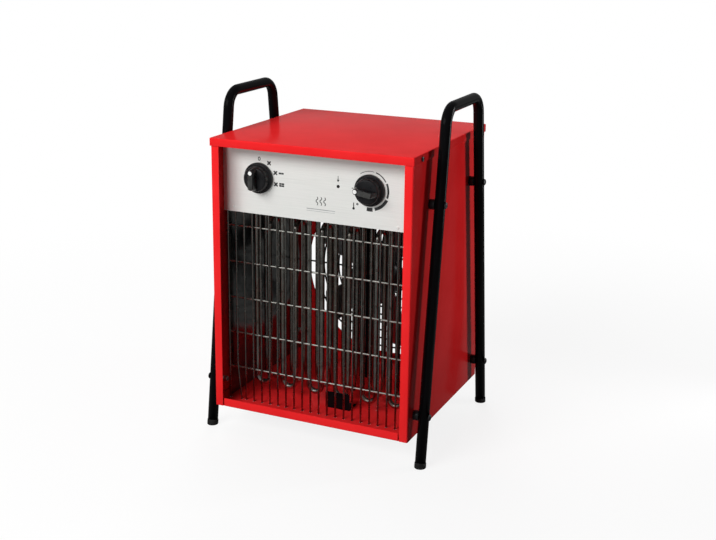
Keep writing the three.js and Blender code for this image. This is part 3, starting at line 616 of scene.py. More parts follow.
def makeSidePanel(side):
    outer = cabinetHigh.x
    post = outer - sheetSet["postWidth"]
    bm = bmesh.new()
    chain = [(post, cabinetLow.y), (outer, cabinetLow.y), (outer, cabinetHigh.y), (post, cabinetHigh.y)]
    verts = [bm.verts.new((x, y, cabinetLow.z)) for x, y in chain]
    for pair in zip(verts, verts[1:]):
        bm.edges.new(pair)
    bmesh.ops.bevel(bm, geom=verts[1:3], offset=sheetSet["fold"], segments=sheetSet["foldSteps"],
                    profile=0.5, affect="VERTICES", material=-1)
    made = bmesh.ops.extrude_edge_only(bm, edges=bm.edges[:])["geom"]
    bmesh.ops.translate(bm, verts=onlyVerts(made), vec=(0, 0, cabinetHigh.z - cabinetLow.z))
    bmesh.ops.recalc_face_normals(bm, faces=bm.faces)
    faceOutwards(bm, cabinetMiddle)
    turnToSide(bm, side)
    piece = makePiece(f"{side}_side_sheet", bm, "redPaint", "root", [f"{side}_side_panel"],
                      recalc=False)
    thicken(piece, sheetSet["thickness"])
    softenEdges(piece, sheetSet["edge"])


for side in ("right", "left"):
    makeSidePanel(side)

coverSet = {"fold": 0.0016, "foldSteps": 6}


def makeCover():
    low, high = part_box("top_cover")
    bm = bmesh.new()
    bmesh.ops.create_cube(bm, size=1, matrix=boxAt(low, high))
    under = [face for face in bm.faces if face.normal.z < -0.9]
    bmesh.ops.delete(bm, geom=under, context="FACES_ONLY")
    folds = [edge for edge in bm.edges if len(edge.link_faces) == 2]
    roundEdges(bm, folds, coverSet["fold"], coverSet["foldSteps"])
    piece = makePiece("cover_sheet", bm, "redPaint", "root", ["top_cover"], recalc=False)
    thicken(piece, sheetSet["thickness"])
    softenEdges(piece, sheetSet["edge"])


makeCover()

panSet = {"railHalf": 0.145, "railHeight": 0.013, "fold": 0.0018, "foldSteps": 4, "holeRadius": 0.0023}
wireSet = {
    "radius": 0.0014,
    "sides": 14,
    "edge": 0.0004,
    "pitch": 0.014,
    "count": 23,
    "bentIndex": 1,
    "bentShift": 0.006,
    "bentHeight": 0.060,
    "bentRadius": 0.05,
    "rows": 5,
    "rowPitch": 0.057,
    "topRow": 0.322,
    "rowHalf": 0.157,
    "weld": 0.00154,
    "weldShape": (1.2, 0.9, 1.0, 1),
}


def wireX(index):
    return (index - (wireSet["count"] - 1) / 2) * wireSet["pitch"]


def wireFootX(index):
    return wireX(index) + (wireSet["bentShift"] if index == wireSet["bentIndex"] else 0)


grilleLow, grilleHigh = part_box("front_grille")
wireY = grilleLow.y + wireSet["radius"]
rowY = grilleHigh.y - wireSet["radius"]


def makeBasePan():
    low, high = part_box("base_pan")
    rail = panSet["railHalf"]
    step = cabinetLow.y + sheetSet["thickness"] + sheetSet["gap"]
    outline = [
        (-rail, low.y), (rail, low.y), (rail, step), (high.x, step),
        (high.x, high.y), (low.x, high.y), (low.x, step), (-rail, step),
    ]
    bm = bmesh.new()
    verts = [bm.verts.new((x, y, low.z)) for x, y in outline]
    bm.faces.new(verts)

    def edgeBetween(first, second):
        return next(edge for edge in bm.edges if set(edge.verts) == {verts[first], verts[second]})

    folds = [edgeBetween(0, 1), edgeBetween(3, 4), edgeBetween(4, 5), edgeBetween(5, 6)]
    for fold in folds:
        made = bmesh.ops.extrude_edge_only(bm, edges=[fold])["geom"]
        bmesh.ops.translate(bm, verts=onlyVerts(made), vec=(0, 0, panSet["railHeight"]))
    roundEdges(bm, folds, panSet["fold"], panSet["foldSteps"])
    bmesh.ops.recalc_face_normals(bm, faces=bm.faces)
    floorFace = max(bm.faces, key=lambda face: face.calc_area())
    if floorFace.normal.z > 0:
        bmesh.ops.reverse_faces(bm, faces=bm.faces)
    piece = makePiece("base_sheet", bm, "redPaint", "root", ["base_pan"], recalc=False)
    thicken(piece, sheetSet["thickness"])
    applyModifiers(piece)
    holes = bmesh.new()
    through = sheetSet["through"]
    for index in range(wireSet["count"]):
        foot = wireFootX(index)
        under, over = (foot, wireY, low.z - through), (foot, wireY, low.z + through)
        addRod(holes, under, over, panSet["holeRadius"], sides=20)
    cutAway(piece, holes)


makeBasePan()

rearSet = {
    "edge": 0.0003,
    "airRadius": 0.146,
    "airHeight": 0.196,
    "glandX": 0.105,
    "glandHeight": 0.401,
    "glandHole": 0.0122,
    "ventX": (-0.053, -0.007),
    "ventLength": 0.034,
    "ventHalf": 0.002,
    "ventPitch": 0.010,
    "ventRows": 6,
}
axisZ = rearSet["airHeight"]
glandX, glandZ = rearSet["glandX"], rearSet["glandHeight"]


def addSlot(bm, centreX, centreZ, length, half, fromY, toY):
    # a slot with round ends, as a closed shape that runs along Y
    made = addRod(bm, (centreX, fromY, centreZ), (centreX, toY, centreZ), half, sides=24)
    for vert in made:
        vert.co.x += math.copysign(length / 2 - half, vert.co.x - centreX)


def makeRearPanel():
    low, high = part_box("rear_panel")
    bm = bmesh.new()
    addBox(bm, low, high, rearSet["edge"])
    piece = makePiece("rear_sheet", bm, "redPaint", "root", ["rear_panel"])
    holes = bmesh.new()
    fromY, toY = low.y - sheetSet["through"], high.y + sheetSet["through"]
    addRod(holes, (0, fromY, axisZ), (0, toY, axisZ), rearSet["airRadius"], sides=128)
    addRod(holes, (glandX, fromY, glandZ), (glandX, toY, glandZ), rearSet["glandHole"], sides=32)
    half = rearSet["ventHalf"]
    for row in range(rearSet["ventRows"]):
        z = glandZ + (row - (rearSet["ventRows"] - 1) / 2) * rearSet["ventPitch"] + half
        for x in rearSet["ventX"]:
            addSlot(holes, x, z, rearSet["ventLength"], half, fromY, toY)
    cutAway(piece, holes)


makeRearPanel()
print("sheet metal made")


# tube frames, feet, spacers and bolts

tubeSet = {
    "radius": 0.008,
    "wall": 0.0015,
    "x": 0.1754,
    "handleHeight": 0.517,
    "handleHalf": 0.067,
    "footHalf": 0.1354,
    "bend": 0.028,
    "flatten": 0.22,
    "startHeight": 0.0083,
}
legSlope = (tubeSet["footHalf"] - tubeSet["handleHalf"]) / tubeSet["handleHeight"]
legLean = math.atan(legSlope)
middleY = cabinetMiddle.y


def legPoint(end, height):
    return Vector((tubeSet["x"], middleY + end * (tubeSet["footHalf"] - legSlope * height), height))


def makeFrameTube(side):
    start, top = tubeSet["startHeight"], tubeSet["handleHeight"]
    corners = [legPoint(-1, start), legPoint(-1, top), legPoint(1, top), legPoint(1, start)]
    bm = bmesh.new()
    addBentTube(bm, corners, [tubeSet["bend"]] * 2, tubeSet["radius"], sides=36, steps=18, capped=False,
                flatten=tubeSet["flatten"])
    bmesh.ops.recalc_face_normals(bm, faces=bm.faces)
    faceOutwardsFromWay(bm, corners)
    turnToSide(bm, side)
    piece = makePiece(f"{side}_bent_tube", bm, "blackPaint", "root", [f"{side}_frame_tube"],
                      recalc=False)
    thicken(piece, tubeSet["wall"])


def faceOutwardsFromWay(bm, corners):
    # compares one face near the first leg with that leg's centre line
    start, way = corners[0], (corners[1] - corners[0]).normalized()
    face = min(bm.faces, key=lambda item: (item.calc_center_median() - start).length)
    arm = face.calc_center_median() - start
    if (arm - way * arm.dot(way)).dot(face.normal) < 0:
        bmesh.ops.reverse_faces(bm, faces=bm.faces)


footSet = {
    "rim": 0.0087,
    "rimHeight": 0.008,
    "edge": 0.0012,
    "groove": 0.0004,
    "grooveShares": (0.62, 0.68, 0.74, 0.80),    # of the rim's height
    "stem": 0.0059,
    "stemLength": 0.022,
    "bottomEdge": 0.0009,
}


def makeFoot(side, end):
    # a plug in the tube's end, cut level with the floor
    rim, top = footSet["rim"], footSet["rimHeight"]
    edge, groove, stem = footSet["edge"], footSet["groove"], footSet["stem"]
    stemTop = top + footSet["stemLength"]
    points = [(0, -top / 2), (rim, -top / 2)]
    depths = (0, groove, groove, 0)
    points += [(rim - depth, top * share) for depth, share in zip(depths, footSet["grooveShares"])]
    points += [*arc((rim - edge, top - edge), edge, 0, 90, 4), (stem, top), (stem, stemTop), (0, stemTop)]
    bm = bmesh.new()
    lean = Matrix.Rotation(end * legLean, 4, "X")
    addLathe(bm, points, Matrix.Translation(legPoint(end, 0)) @ lean, steps=40)
    everything = bm.verts[:] + bm.edges[:] + bm.faces[:]
    cut = bmesh.ops.bisect_plane(bm, geom=everything, dist=touching, plane_co=(0, 0, 0), plane_no=(0, 0, -1),
                                 clear_outer=True)["geom_cut"]
    bmesh.ops.contextual_create(bm, geom=onlyEdges(cut))
    bmesh.ops.recalc_face_normals(bm, faces=bm.faces)
    bottom = [face for face in bm.faces if face.normal.z < -0.99]
    roundEdges(bm, list({edge for face in bottom for edge in face.edges}), footSet["bottomEdge"], segments=3)
    turnToSide(bm, side)
    place = endName(side, end)
    makePiece(f"{side}_{place}_foot_cap", bm, "footPlastic", "root",
              [f"{side}_{place}_foot"])


spacerSet = {
    "radius": 0.0075,
    "start": 0.1603,
    "end": 0.1689,
    "edge": 0.0005,
    "inset": 0.0022,
    "saddle": 0.0083,
    "saddleDepth": 0.0012,
}
boltSet = {
    "heights": {"upper": 0.3825, "lower": 0.076},
    "seat": 0.1837,
    "head": 0.005,
    "headHeight": 0.0023,
    "rim": 0.0003,
    # shares of radius and height
    "dome": ((1, 0.30), (0.93, 0.55), (0.78, 0.80), (0.62, 0.94), (0.51, 1)),
    "shank": 0.0025,
    "length": 0.0319,
    # radius, its height over the end, and the height where the full shank starts
    "tip": (0.0020, 0, 0.0006),
    "sides": 36,
    "socket": 0.0017,
    "socketDepth": 0.0014,
    "clear": 0.001,
}


def makeSpacer(side, end, level):
    # a round distance piece whose outer end follows the tube
    z = boltSet["heights"][level]
    axis = legPoint(end, z)
    along = Vector((0, -end * math.sin(legLean), math.cos(legLean)))
    start, stop = spacerSet["start"], spacerSet["end"]
    bm = bmesh.new()
    addRod(bm, (start, axis.y, z), (stop, axis.y, z), spacerSet["radius"], sides=32)
    roundEdges(bm, sharpEdges(bm.edges), spacerSet["edge"])
    ends = [face for face in bm.faces if face.normal.x > 0.9]
    bmesh.ops.inset_region(bm, faces=ends, thickness=spacerSet["inset"])
    for vert in bm.verts:
        if vert.co.x > stop - spacerSet["saddleDepth"]:
            arm = vert.co - axis
            arm.x = 0
            across = (arm - along * arm.dot(along)).length
            reach = math.sqrt(max(spacerSet["saddle"] ** 2 - across ** 2, 0))
            vert.co.x = min(vert.co.x, tubeSet["x"] - reach)
    turnToSide(bm, side)
    place = endName(side, end)
    makePiece(f"{side}_{place}_{level}_distance_piece", bm, "blackPlastic", "root",
              [f"{side}_{place}_{level}_spacer"])


def alongX(x, y, z):
    # stands a lathe shape on its side, with its top towards +X
    return Matrix.Translation((x, y, z)) @ Matrix.Rotation(math.pi / 2, 4, "Y")


def addScrew(bm, settings, y, z):
    # a lathed screw along X, from the end of its shank to the top of its domed head
    head, height, shank = settings["head"], settings["headHeight"], settings["shank"]
    end, rim = -settings["length"], settings["rim"]
    tip, tipRise, shankRise = settings["tip"]
    points = [(0, end), (tip, end + tipRise), (shank, end + shankRise), (shank, 0)]
    points += [(head - rim, 0), (head, rim)]
    points += [(head * wide, height * tall) for wide, tall in settings["dome"]]
    points.append((0, height))
    addLathe(bm, points, alongX(settings["seat"], y, z), settings["sides"])


def makeFrameBolt(side, end, level):
    # domed head with a hexagon socket
    z = boltSet["heights"][level]
    y = legPoint(end, z).y
    bm = bmesh.new()
    addScrew(bm, boltSet, y, z)
    turnToSide(bm, side)
    name = f"{side}_{endName(side, end)}_{level}"
    piece = makePiece(f"{name}_socket_bolt", bm, "darkBolt", "root", [f"{name}_bolt"])
    socket = bmesh.new()
    top = boltSet["seat"] + boltSet["headHeight"]
    bottom, clear = top - boltSet["socketDepth"], top + boltSet["clear"]
    addRod(socket, (bottom, y, z), (clear, y, z), boltSet["socket"], sides=6)
    turnToSide(socket, side)
    cutAway(piece, socket)


insertSet = {"outer": 0.0043, "inner": 0.0027, "length": 0.0066, "edge": 0.0003, "flange": 0.0004}


def makeInserts(side):
    # four threaded inserts pressed into the sheet, each an open sleeve on its inner side
    outer, inner = insertSet["outer"], insertSet["inner"]
    edge, flange = insertSet["edge"], insertSet["flange"]
    seat = cabinetHigh.x - sheetSet["thickness"]
    start = seat - insertSet["length"]
    points = [
        (inner, start + edge), (inner + edge, start), (outer - edge, start), (outer, start + edge),
        (outer, seat - flange), (outer + flange, seat), (inner, seat), (inner, start + edge),
    ]
    bm = bmesh.new()
    for end in (-1, 1):
        for z in boltSet["heights"].values():
            addLathe(bm, points, alongX(0, legPoint(end, z).y, z), steps=28)
    turnToSide(bm, side)
    makePiece(f"{side}_threaded_inserts", bm, "zincPlate", "root")


screwSet = {
    "yHalf": 0.122,
    "height": 0.4541,
    "seat": 0.1618,
    "head": 0.0037,
    "headHeight": 0.002,
    "rim": 0.0002,
    "dome": ((1, 0.35), (0.88, 0.75), (0.64, 0.96), (0.4, 1)),
    "shank": 0.0019,
    "length": 0.009,
    "tip": (0.00095, 0.0004, 0.0020),
    "sides": 32,
    "crossHalf": 0.0004,
    "crossReach": 0.0017,
    "crossDepth": 0.0012,
    "clear": 0.001,
}


def makeCoverScrew(side, end):
    # pan head with a cross recess
    y, z = middleY + end * screwSet["yHalf"], screwSet["height"]
    bm = bmesh.new()
    addScrew(bm, screwSet, y, z)
    turnToSide(bm, side)
    name = f"{side}_{endName(side, end)}"
    piece = makePiece(f"{name}_cross_screw", bm, "darkBolt", "root", [f"{name}_cover_screw"])
    top = screwSet["seat"] + screwSet["headHeight"]
    bottom, clear = top - screwSet["crossDepth"], top + screwSet["clear"]
    half, reach = screwSet["crossHalf"], screwSet["crossReach"]
    for wide, tall in ((half, reach), (reach, half)):
        bar = bmesh.new()
        addBox(bar, (bottom, y - wide, z - tall), (clear, y + wide, z + tall))
        turnToSide(bar, side)
        cutAway(piece, bar)


for side in ("right", "left"):
    makeFrameTube(side)
    makeInserts(side)
    for end in (-1, 1):
        makeFoot(side, end)
        makeCoverScrew(side, end)
        for level in boltSet["heights"]:
            makeSpacer(side, end, level)
            makeFrameBolt(side, end, level)
print("frames made")


# front grille and heating elements


def makeFrontGrille():
    radius, sides, edge = wireSet["radius"], wireSet["sides"], wireSet["edge"]
    top, foot = grilleHigh.z, grilleLow.z
    rows = [wireSet["topRow"] - row * wireSet["rowPitch"] for row in range(wireSet["rows"])]
    uprights = bmesh.new()
    for index in range(wireSet["count"]):
        x, footX = wireX(index), wireFootX(index)
        if footX == x:
            addRod(uprights, (x, wireY, foot), (x, wireY, top), radius, sides, edge)
        else:
            corners = [(x, wireY, top), (x, wireY, foot + wireSet["bentHeight"]), (footX, wireY, foot)]
            addBentTube(uprights, corners, [wireSet["bentRadius"]], radius, sides, steps=8)
        for z in rows:
            weld = Matrix.Translation((x, (wireY + rowY) / 2, z)) @ Matrix.Diagonal(wireSet["weldShape"])
            bmesh.ops.create_icosphere(uprights, subdivisions=1, radius=wireSet["weld"], matrix=weld)
    makePiece("grille_uprights", uprights, "uprightWirePaintedShade", "root", ["front_grille"], smooth=50)
    crossWires = bmesh.new()
    reach = wireSet["rowHalf"]
    for z in rows:
        addRod(crossWires, (-reach, rowY, z), (reach, rowY, z), radius, sides, edge)
    makePiece("grille_cross_wires", crossWires, "crossWirePaintedSheen", "root", smooth=50)


makeFrontGrille()

elementSet = {
    "count": 6,
    "pitch": 0.045,
    "radius": 0.004,
    "half": 0.011,
    "rowGap": 0.030,
    "bottom": 0.0622,
    "over": 0.329,
    "collar": 0.0075,
    "collarHeight": 0.004,
    "collarSeat": 0.3505,
    "collarEdge": 0.0004,
    "pin": 0.0015,
    "pinLength": 0.0005,
}


def makeElement(index):
    # one tube bent into two U loops, one behind the other, with a hexagon collar on each end
    node = f"heating_element_{index + 1}"
    low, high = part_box(node)
    half, gap = elementSet["half"], elementSet["rowGap"]
    x = (index - (elementSet["count"] - 1) / 2) * elementSet["pitch"]
    left, right = x - half, x + half
    front = (low.y + high.y - gap) / 2
    rear = front + gap
    bottom, over, top = elementSet["bottom"], elementSet["over"], high.z
    corners = [
        (left, rear, top), (left, rear, bottom), (right, rear, bottom), (right, rear, over),
        (right, front, over), (right, front, bottom), (left, front, bottom), (left, front, top),
    ]
    bends = [half, half, gap / 2, gap / 2, half, half]
    bm = bmesh.new()
    addBentTube(bm, corners, bends, elementSet["radius"], sides=20, steps=10)
    seat = elementSet["collarSeat"]
    collarTop = seat + elementSet["collarHeight"]
    for y in (front, rear):
        addRod(bm, (left, y, seat), (left, y, collarTop), elementSet["collar"], sides=6,
               soft=elementSet["collarEdge"])
        addRod(bm, (left, y, top - elementSet["pinLength"]), (left, y, top), elementSet["pin"], sides=12)
    makePiece(f"element_tube_{index + 1}", bm, "elementSheath", "root", [node], smooth=45)


for index in range(elementSet["count"]):
    makeElement(index)
print("grille and elements made")


# control panel, knobs and marks

panelLow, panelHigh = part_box("control_panel")
controlSet = {"powerX": -0.097, "thermostatX": 0.082, "resetX": 0.0315, "height": 0.401}
faceY = panelLow.y


def towardsFront(x, z, turn=0.0, lift=0.0):
    # puts a shape made about Z, with its pointer along +Y, on the panel with its top towards the front
    place = Matrix.Translation((x, faceY - lift, z))
    return place @ Matrix.Rotation(math.radians(turn), 4, "Y") @ Matrix.Rotation(math.pi / 2, 4, "X")


knobSet = {
    "standOff": 0.0006,
    "skirt": 0.0232,
    "skirtHeight": 0.0055,
    "skirtShare": 0.55,
    "rim": 0.0006,
    "shoulder": 0.0018,
    "neck": 0.0012,
    "body": 0.0195,
    "bodyHeight": 0.016,
    "draft": 0.0008,
    "crown": 0.0032,
    "crownRise": 0.0002,
    "topShares": (0.6, 0.3),
    "gripHalf": 0.005,
    "gripBase": 0.0206,
    "gripTop": 0.0285,
    "gripFoot": 0.5,
    "gripTaper": 0.9,
    "gripEdge": 0.0009,
    "faceTail": -0.014,
    "facePoint": 0.0155,
    "faceSink": 0.0005,
}
dotSet = {"place": 0.0116, "radius": 0.0030, "depth": 0.0008, "edge": 0.0001, "flatShare": 0.9}
ribSet = {
    "count": 5,
    "pitch": 0.00155,
    "half": 0.00042,
    "sink": 0.0003,
    "edge": 0.0002,
    "fromDot": 0.0008,
    "fromTail": 0.0012,
    "padSide": 0.0006,
    "padSink": 0.0004,
    "padRise": 0.00005,
    "padEdge": 0.00004,
}


def makeKnob(name, x, turn):
    # a round skirt and body with a pointer grip, then its white dot and its ribs
    matrix = towardsFront(x, controlSet["height"], turn, knobSet["standOff"])
    moulding = bmesh.new()
    addLathe(moulding, knobProfile(), matrix, steps=72)
    addGrip(moulding, matrix)
    makePiece(f"{name}_moulding", moulding, "blackPlastic", name, [name], smooth=40)
    dot = bmesh.new()
    radius, top = dotSet["radius"], knobSet["gripTop"]
    floor = top - dotSet["depth"]
    profile = [
        (0, floor), (radius, floor), (radius, top - dotSet["edge"]), (radius * dotSet["flatShare"], top),
        (0, top),
    ]
    addLathe(dot, profile, matrix @ Matrix.Translation((0, dotSet["place"], 0)), steps=32)
    makePiece(f"{name}_dot", dot, "whiteInlay", name)
    ribs = bmesh.new()
    addRibs(ribs, matrix)
    makePiece(f"{name}_ribs", ribs, "lighterGripPlastic", name)


def knobProfile():
    skirt, skirtTop, rim = knobSet["skirt"], knobSet["skirtHeight"], knobSet["rim"]
    shoulder, neck, crown = knobSet["shoulder"], knobSet["neck"], knobSet["crown"]
    body, bodyTop, draft = knobSet["body"], knobSet["bodyHeight"], knobSet["draft"]
    rise = knobSet["crownRise"]
    wide, narrow = knobSet["topShares"]
    return [
        (0, 0), (skirt - rim, 0), *arc((skirt - rim, rim), rim, -90, 0, 3),
        (skirt, skirtTop * knobSet["skirtShare"]),
        *arc((skirt - shoulder, skirtTop - shoulder), shoulder, 0, 90, 5),
        (body + neck, skirtTop), *arc((body + neck, skirtTop + neck), neck, -90, -180, 4),
        (body - draft, bodyTop - draft - crown - rise),
        *arc((body - draft - crown, bodyTop - crown - rise), crown, 5, 82, 7),
        (body * wide, bodyTop + rise), (body * narrow, bodyTop + 2 * rise), (0, bodyTop + 2 * rise),
    ]


def addGrip(bm, matrix):
    # a capsule drawn out to the pointer and tapered to its face
    half, base, taper = knobSet["gripHalf"], knobSet["gripBase"], knobSet["gripTaper"]
    floor, top = knobSet["skirtHeight"] * knobSet["gripFoot"], knobSet["gripTop"] - knobSet["faceSink"]
    tail, point = knobSet["faceTail"], knobSet["facePoint"]
    before = set(bm.verts)
    lower = bmesh.ops.create_circle(bm, cap_ends=True, radius=half, segments=32)["verts"]
    for vert in lower:
        onMiddle = abs(vert.co.y) < touching
        vert.co.y = 0 if onMiddle else vert.co.y + math.copysign(base - half, vert.co.y)
        vert.co.z = floor
    foot = next(iter(lower[0].link_faces))
    upper = onlyVerts(bmesh.ops.extrude_face_region(bm, geom=[foot])["geom"])
    middle, reach = (point + tail) / 2, (point - tail) / 2
    for vert in upper:
        end = math.copysign(1, vert.co.y)
        fromEnd = abs(vert.co.y) - (base - half)
        onMiddle = abs(vert.co.y) < touching
        vert.co.x *= taper
        vert.co.y = middle if onMiddle else middle + end * (reach - half * taper + fromEnd * taper)
        vert.co.z = top
    faces = list({face for vert in lower + upper for face in vert.link_faces})
    bmesh.ops.recalc_face_normals(bm, faces=faces)
    rim = [edge for edge in edgesOf(upper) if all(vert in upper for vert in edge.verts)]
    roundEdges(bm, rim, knobSet["gripEdge"], segments=4)
    bmesh.ops.transform(bm, matrix=matrix, verts=[vert for vert in bm.verts if vert not in before])


def addRibs(bm, matrix):
    # finger ribs along the face of the grip, on a thin pad, a little lighter than the knob
    top = knobSet["gripTop"]
    face = top - knobSet["faceSink"]
    start = knobSet["faceTail"] + ribSet["fromTail"]
    end = dotSet["place"] - dotSet["radius"] - ribSet["fromDot"]
    half, sink = ribSet["half"], ribSet["sink"]
    reach = ribSet["pitch"] * (ribSet["count"] - 1) / 2 + ribSet["padSide"]
    padLow = (-reach, start, face - ribSet["padSink"])
    padHigh = (reach, end, face + ribSet["padRise"])
    addBox(bm, padLow, padHigh, ribSet["padEdge"], segments=1)
    for index in range(ribSet["count"]):
        across = (index - (ribSet["count"] - 1) / 2) * ribSet["pitch"]
        addBox(bm, (across - half, start, face - sink), (across + half, end, top), ribSet["edge"])
    bmesh.ops.transform(bm, matrix=matrix, verts=bm.verts)


makeKnob("power_knob", controlSet["powerX"], 0)
makeKnob("thermostat_knob", controlSet["thermostatX"], -80)

buttonSet = {"radius": 0.0021, "edge": 0.0006, "collar": 0.0035, "collarThick": 0.002, "gap": 0.0003}


def makeResetButton():
    # a pin whose collar lies behind the panel
    low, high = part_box("reset_button")
    radius, collar, edge = buttonSet["radius"], buttonSet["collar"], buttonSet["edge"]
    nose, tail = faceY - low.y, faceY - high.y
    seat = faceY - panelHigh.y - buttonSet["gap"]
    back = seat - buttonSet["collarThick"]
    points = [
        (0, tail), (radius, tail), (radius, back), (collar, back), (collar, seat), (radius, seat),
        (radius, nose - edge), *arc((radius - edge, nose - edge), edge, 0, 90, 4), (0, nose),
    ]
    bm = bmesh.new()
    addLathe(bm, points, towardsFront(controlSet["resetX"], controlSet["height"]), steps=28)
    makePiece("reset_pin", bm, "blackPlastic", "reset_button", ["reset_button"])


makeResetButton()

markSet = {"thick": 0.00012, "line": 0.0012, "stepDegrees": 4}


def makeMark(name, bm, x, z, material="darkPrint"):
    # lays a flat mark on the panel and turns it into a piece
    bmesh.ops.transform(bm, matrix=towardsFront(x, z), verts=bm.verts)
    makePiece(name, bm, material, "root", smooth=30)


def raiseFaces(bm, faces):
    for face in faces:
        face.normal_update()
    made = bmesh.ops.extrude_face_region(bm, geom=faces)["geom"]
    bmesh.ops.translate(bm, verts=onlyVerts(made), vec=(0, 0, markSet["thick"]))


def addArcMark(bm, inner, outer, start, end):
    # a curved bar, made flat about Z: a short edge spun round, then raised
    verts = [bm.verts.new((radius, 0, 0)) for radius in (inner, outer)]
    edge = bm.edges.new(verts)
    bmesh.ops.transform(bm, matrix=Matrix.Rotation(math.radians(90 - start), 4, "Z"), verts=verts)
    before = set(bm.faces)
    steps = max(2, int(abs(end - start) / markSet["stepDegrees"]))
    bmesh.ops.spin(bm, geom=[*verts, edge], cent=(0, 0, 0), axis=(0, 0, 1), dvec=(0, 0, 0),
                   angle=math.radians(start - end), steps=steps, use_merge=False, use_duplicate=False)
    raiseFaces(bm, [face for face in bm.faces if face not in before])


def addBarMark(bm, x, y, width, height):
    addBox(bm, (x - width / 2, y - height / 2, 0), (x + width / 2, y + height / 2, markSet["thick"]))


def addDiscMark(bm, x, y, radius, sides=20):
    addRod(bm, (x, y, 0), (x, y, markSet["thick"]), radius, sides)


def addFlatMark(bm, radius, matrix, sides):
    # a round or many-sided spot, put in place and raised
    made = bmesh.ops.create_circle(bm, cap_ends=True, radius=radius, segments=sides)["verts"]
    bmesh.ops.transform(bm, matrix=matrix, verts=made)
    raiseFaces(bm, list(made[0].link_faces))


fanMarkSet = {"hub": 0.16, "blade": 0.26, "reach": 0.30, "slim": 0.62}    # shares of the mark's size


def addFanMark(bm, x, y, size):
    # four small blades round a hub
    addDiscMark(bm, x, y, size * fanMarkSet["hub"], sides=12)
    slim = Matrix.Diagonal((1, fanMarkSet["slim"], 1, 1))
    blade = Matrix.Translation((size * fanMarkSet["reach"], 0, 0)) @ slim
    for quarter in range(4):
        turn = Matrix.Rotation(math.radians(45 + 90 * quarter), 4, "Z")
        place = Matrix.Translation((x, y, 0)) @ turn @ blade
        addFlatMark(bm, size * fanMarkSet["blade"], place, sides=16)


def addZeroMark(bm, x, y, wide, tall):
    # the numeral 0 as an oval ring
    rings = []
    for inset in (0, markSet["line"]):
        ring = bmesh.ops.create_circle(bm, cap_ends=False, radius=1, segments=28)["verts"]
        shape = Matrix.Translation((x, y, 0)) @ Matrix.Diagonal((wide / 2 - inset, tall / 2 - inset, 1, 1))
        bmesh.ops.transform(bm, matrix=shape, verts=ring)
        rings += edgesOf(ring)
    raiseFaces(bm, bmesh.ops.bridge_loops(bm, edges=rings)["faces"])


def polar(radius, angle):
    return radius * math.sin(math.radians(angle)), radius * math.cos(math.radians(angle))


powerScale = {
    "radius": 0.0285,
    "zero": (0.0044, 0.0060),
    "fans": ((35, 0), (70, 1), (105, 2)),    # angle, and number of rows of bars
    "fanSize": 0.0074,
    "barFromFan": 0.0096,
    "barHalfPitch": 0.0021,
    "barRowPitch": 0.0030,
    "bar": (0.0038, 0.0025),
}


def makePowerMarks():
    bm = bmesh.new()
    addZeroMark(bm, *polar(powerScale["radius"], 0), *powerScale["zero"])
    for angle, rows in powerScale["fans"]:
        x, y = polar(powerScale["radius"], angle)
        addFanMark(bm, x, y, powerScale["fanSize"])
        barX = x + powerScale["barFromFan"]
        for row in range(rows):
            barY = y + (row - (rows - 1) / 2) * powerScale["barRowPitch"]
            for side in (-1, 1):
                addBarMark(bm, barX + side * powerScale["barHalfPitch"], barY, *powerScale["bar"])
    makeMark("power_scale", bm, controlSet["powerX"], controlSet["height"])


thermostatArcs = [
    {"from": -35, "to": 12, "inner": 0.0268, "outer": 0.0276},
    {"from": 18, "to": 60, "inner": 0.0266, "outer": 0.0282},
    {"from": 65, "to": 110, "inner": 0.0262, "outer": 0.0292},
    {"from": 115, "to": 165, "inner": 0.0258, "outer": 0.0304},
    {"from": 172, "to": 190, "inner": 0.0256, "outer": 0.0312},
]
thermostatScale = {
    "dashRadius": 0.0275,
    "dashAngle": -90,
    "dash": (0.0030, 0.0010),
    "symbolRadius": 0.036,
    "symbolAngle": 222,
    "tubeShift": (-0.0016, 0.0022),
    "tube": (0.0014, 0.0072),
    "bulbShift": (-0.0016, -0.0026),
    "bulb": 0.0019,
    "degreeShift": (0.0042, 0.0042),
    "degree": (0.0034, 0.0034),
}


def makeThermostatMarks():
    # growing arcs, a small dash, and a thermometer with its degree ring
    bm = bmesh.new()
    for part in thermostatArcs:
        addArcMark(bm, part["inner"], part["outer"], part["from"], part["to"])
    dashPlace = polar(thermostatScale["dashRadius"], thermostatScale["dashAngle"])
    addBarMark(bm, *dashPlace, *thermostatScale["dash"])
    x, y = polar(thermostatScale["symbolRadius"], thermostatScale["symbolAngle"])

    def nearSymbol(part):
        shiftX, shiftY = thermostatScale[part]
        return x + shiftX, y + shiftY

    addBarMark(bm, *nearSymbol("tubeShift"), *thermostatScale["tube"])
    addDiscMark(bm, *nearSymbol("bulbShift"), thermostatScale["bulb"])
    addZeroMark(bm, *nearSymbol("degreeShift"), *thermostatScale["degree"])
    makeMark("thermostat_scale", bm, controlSet["thermostatX"], controlSet["height"])


heatSet = {
    "place": (0.004, 0.376),
    "waves": 3,
    "wavePitch": 0.0062,
    "radius": 0.0021,
    "halfAngle": 52,
    "shift": 0.0014,
    "stepHeight": 0.0039,
    "rulePlace": (0.004, 0.3635),
    "ruleWidth": 0.046,
    "rules": ((0, 0.0011), (-0.0030, 0.0005)),    # height of each rule, and its thickness
}


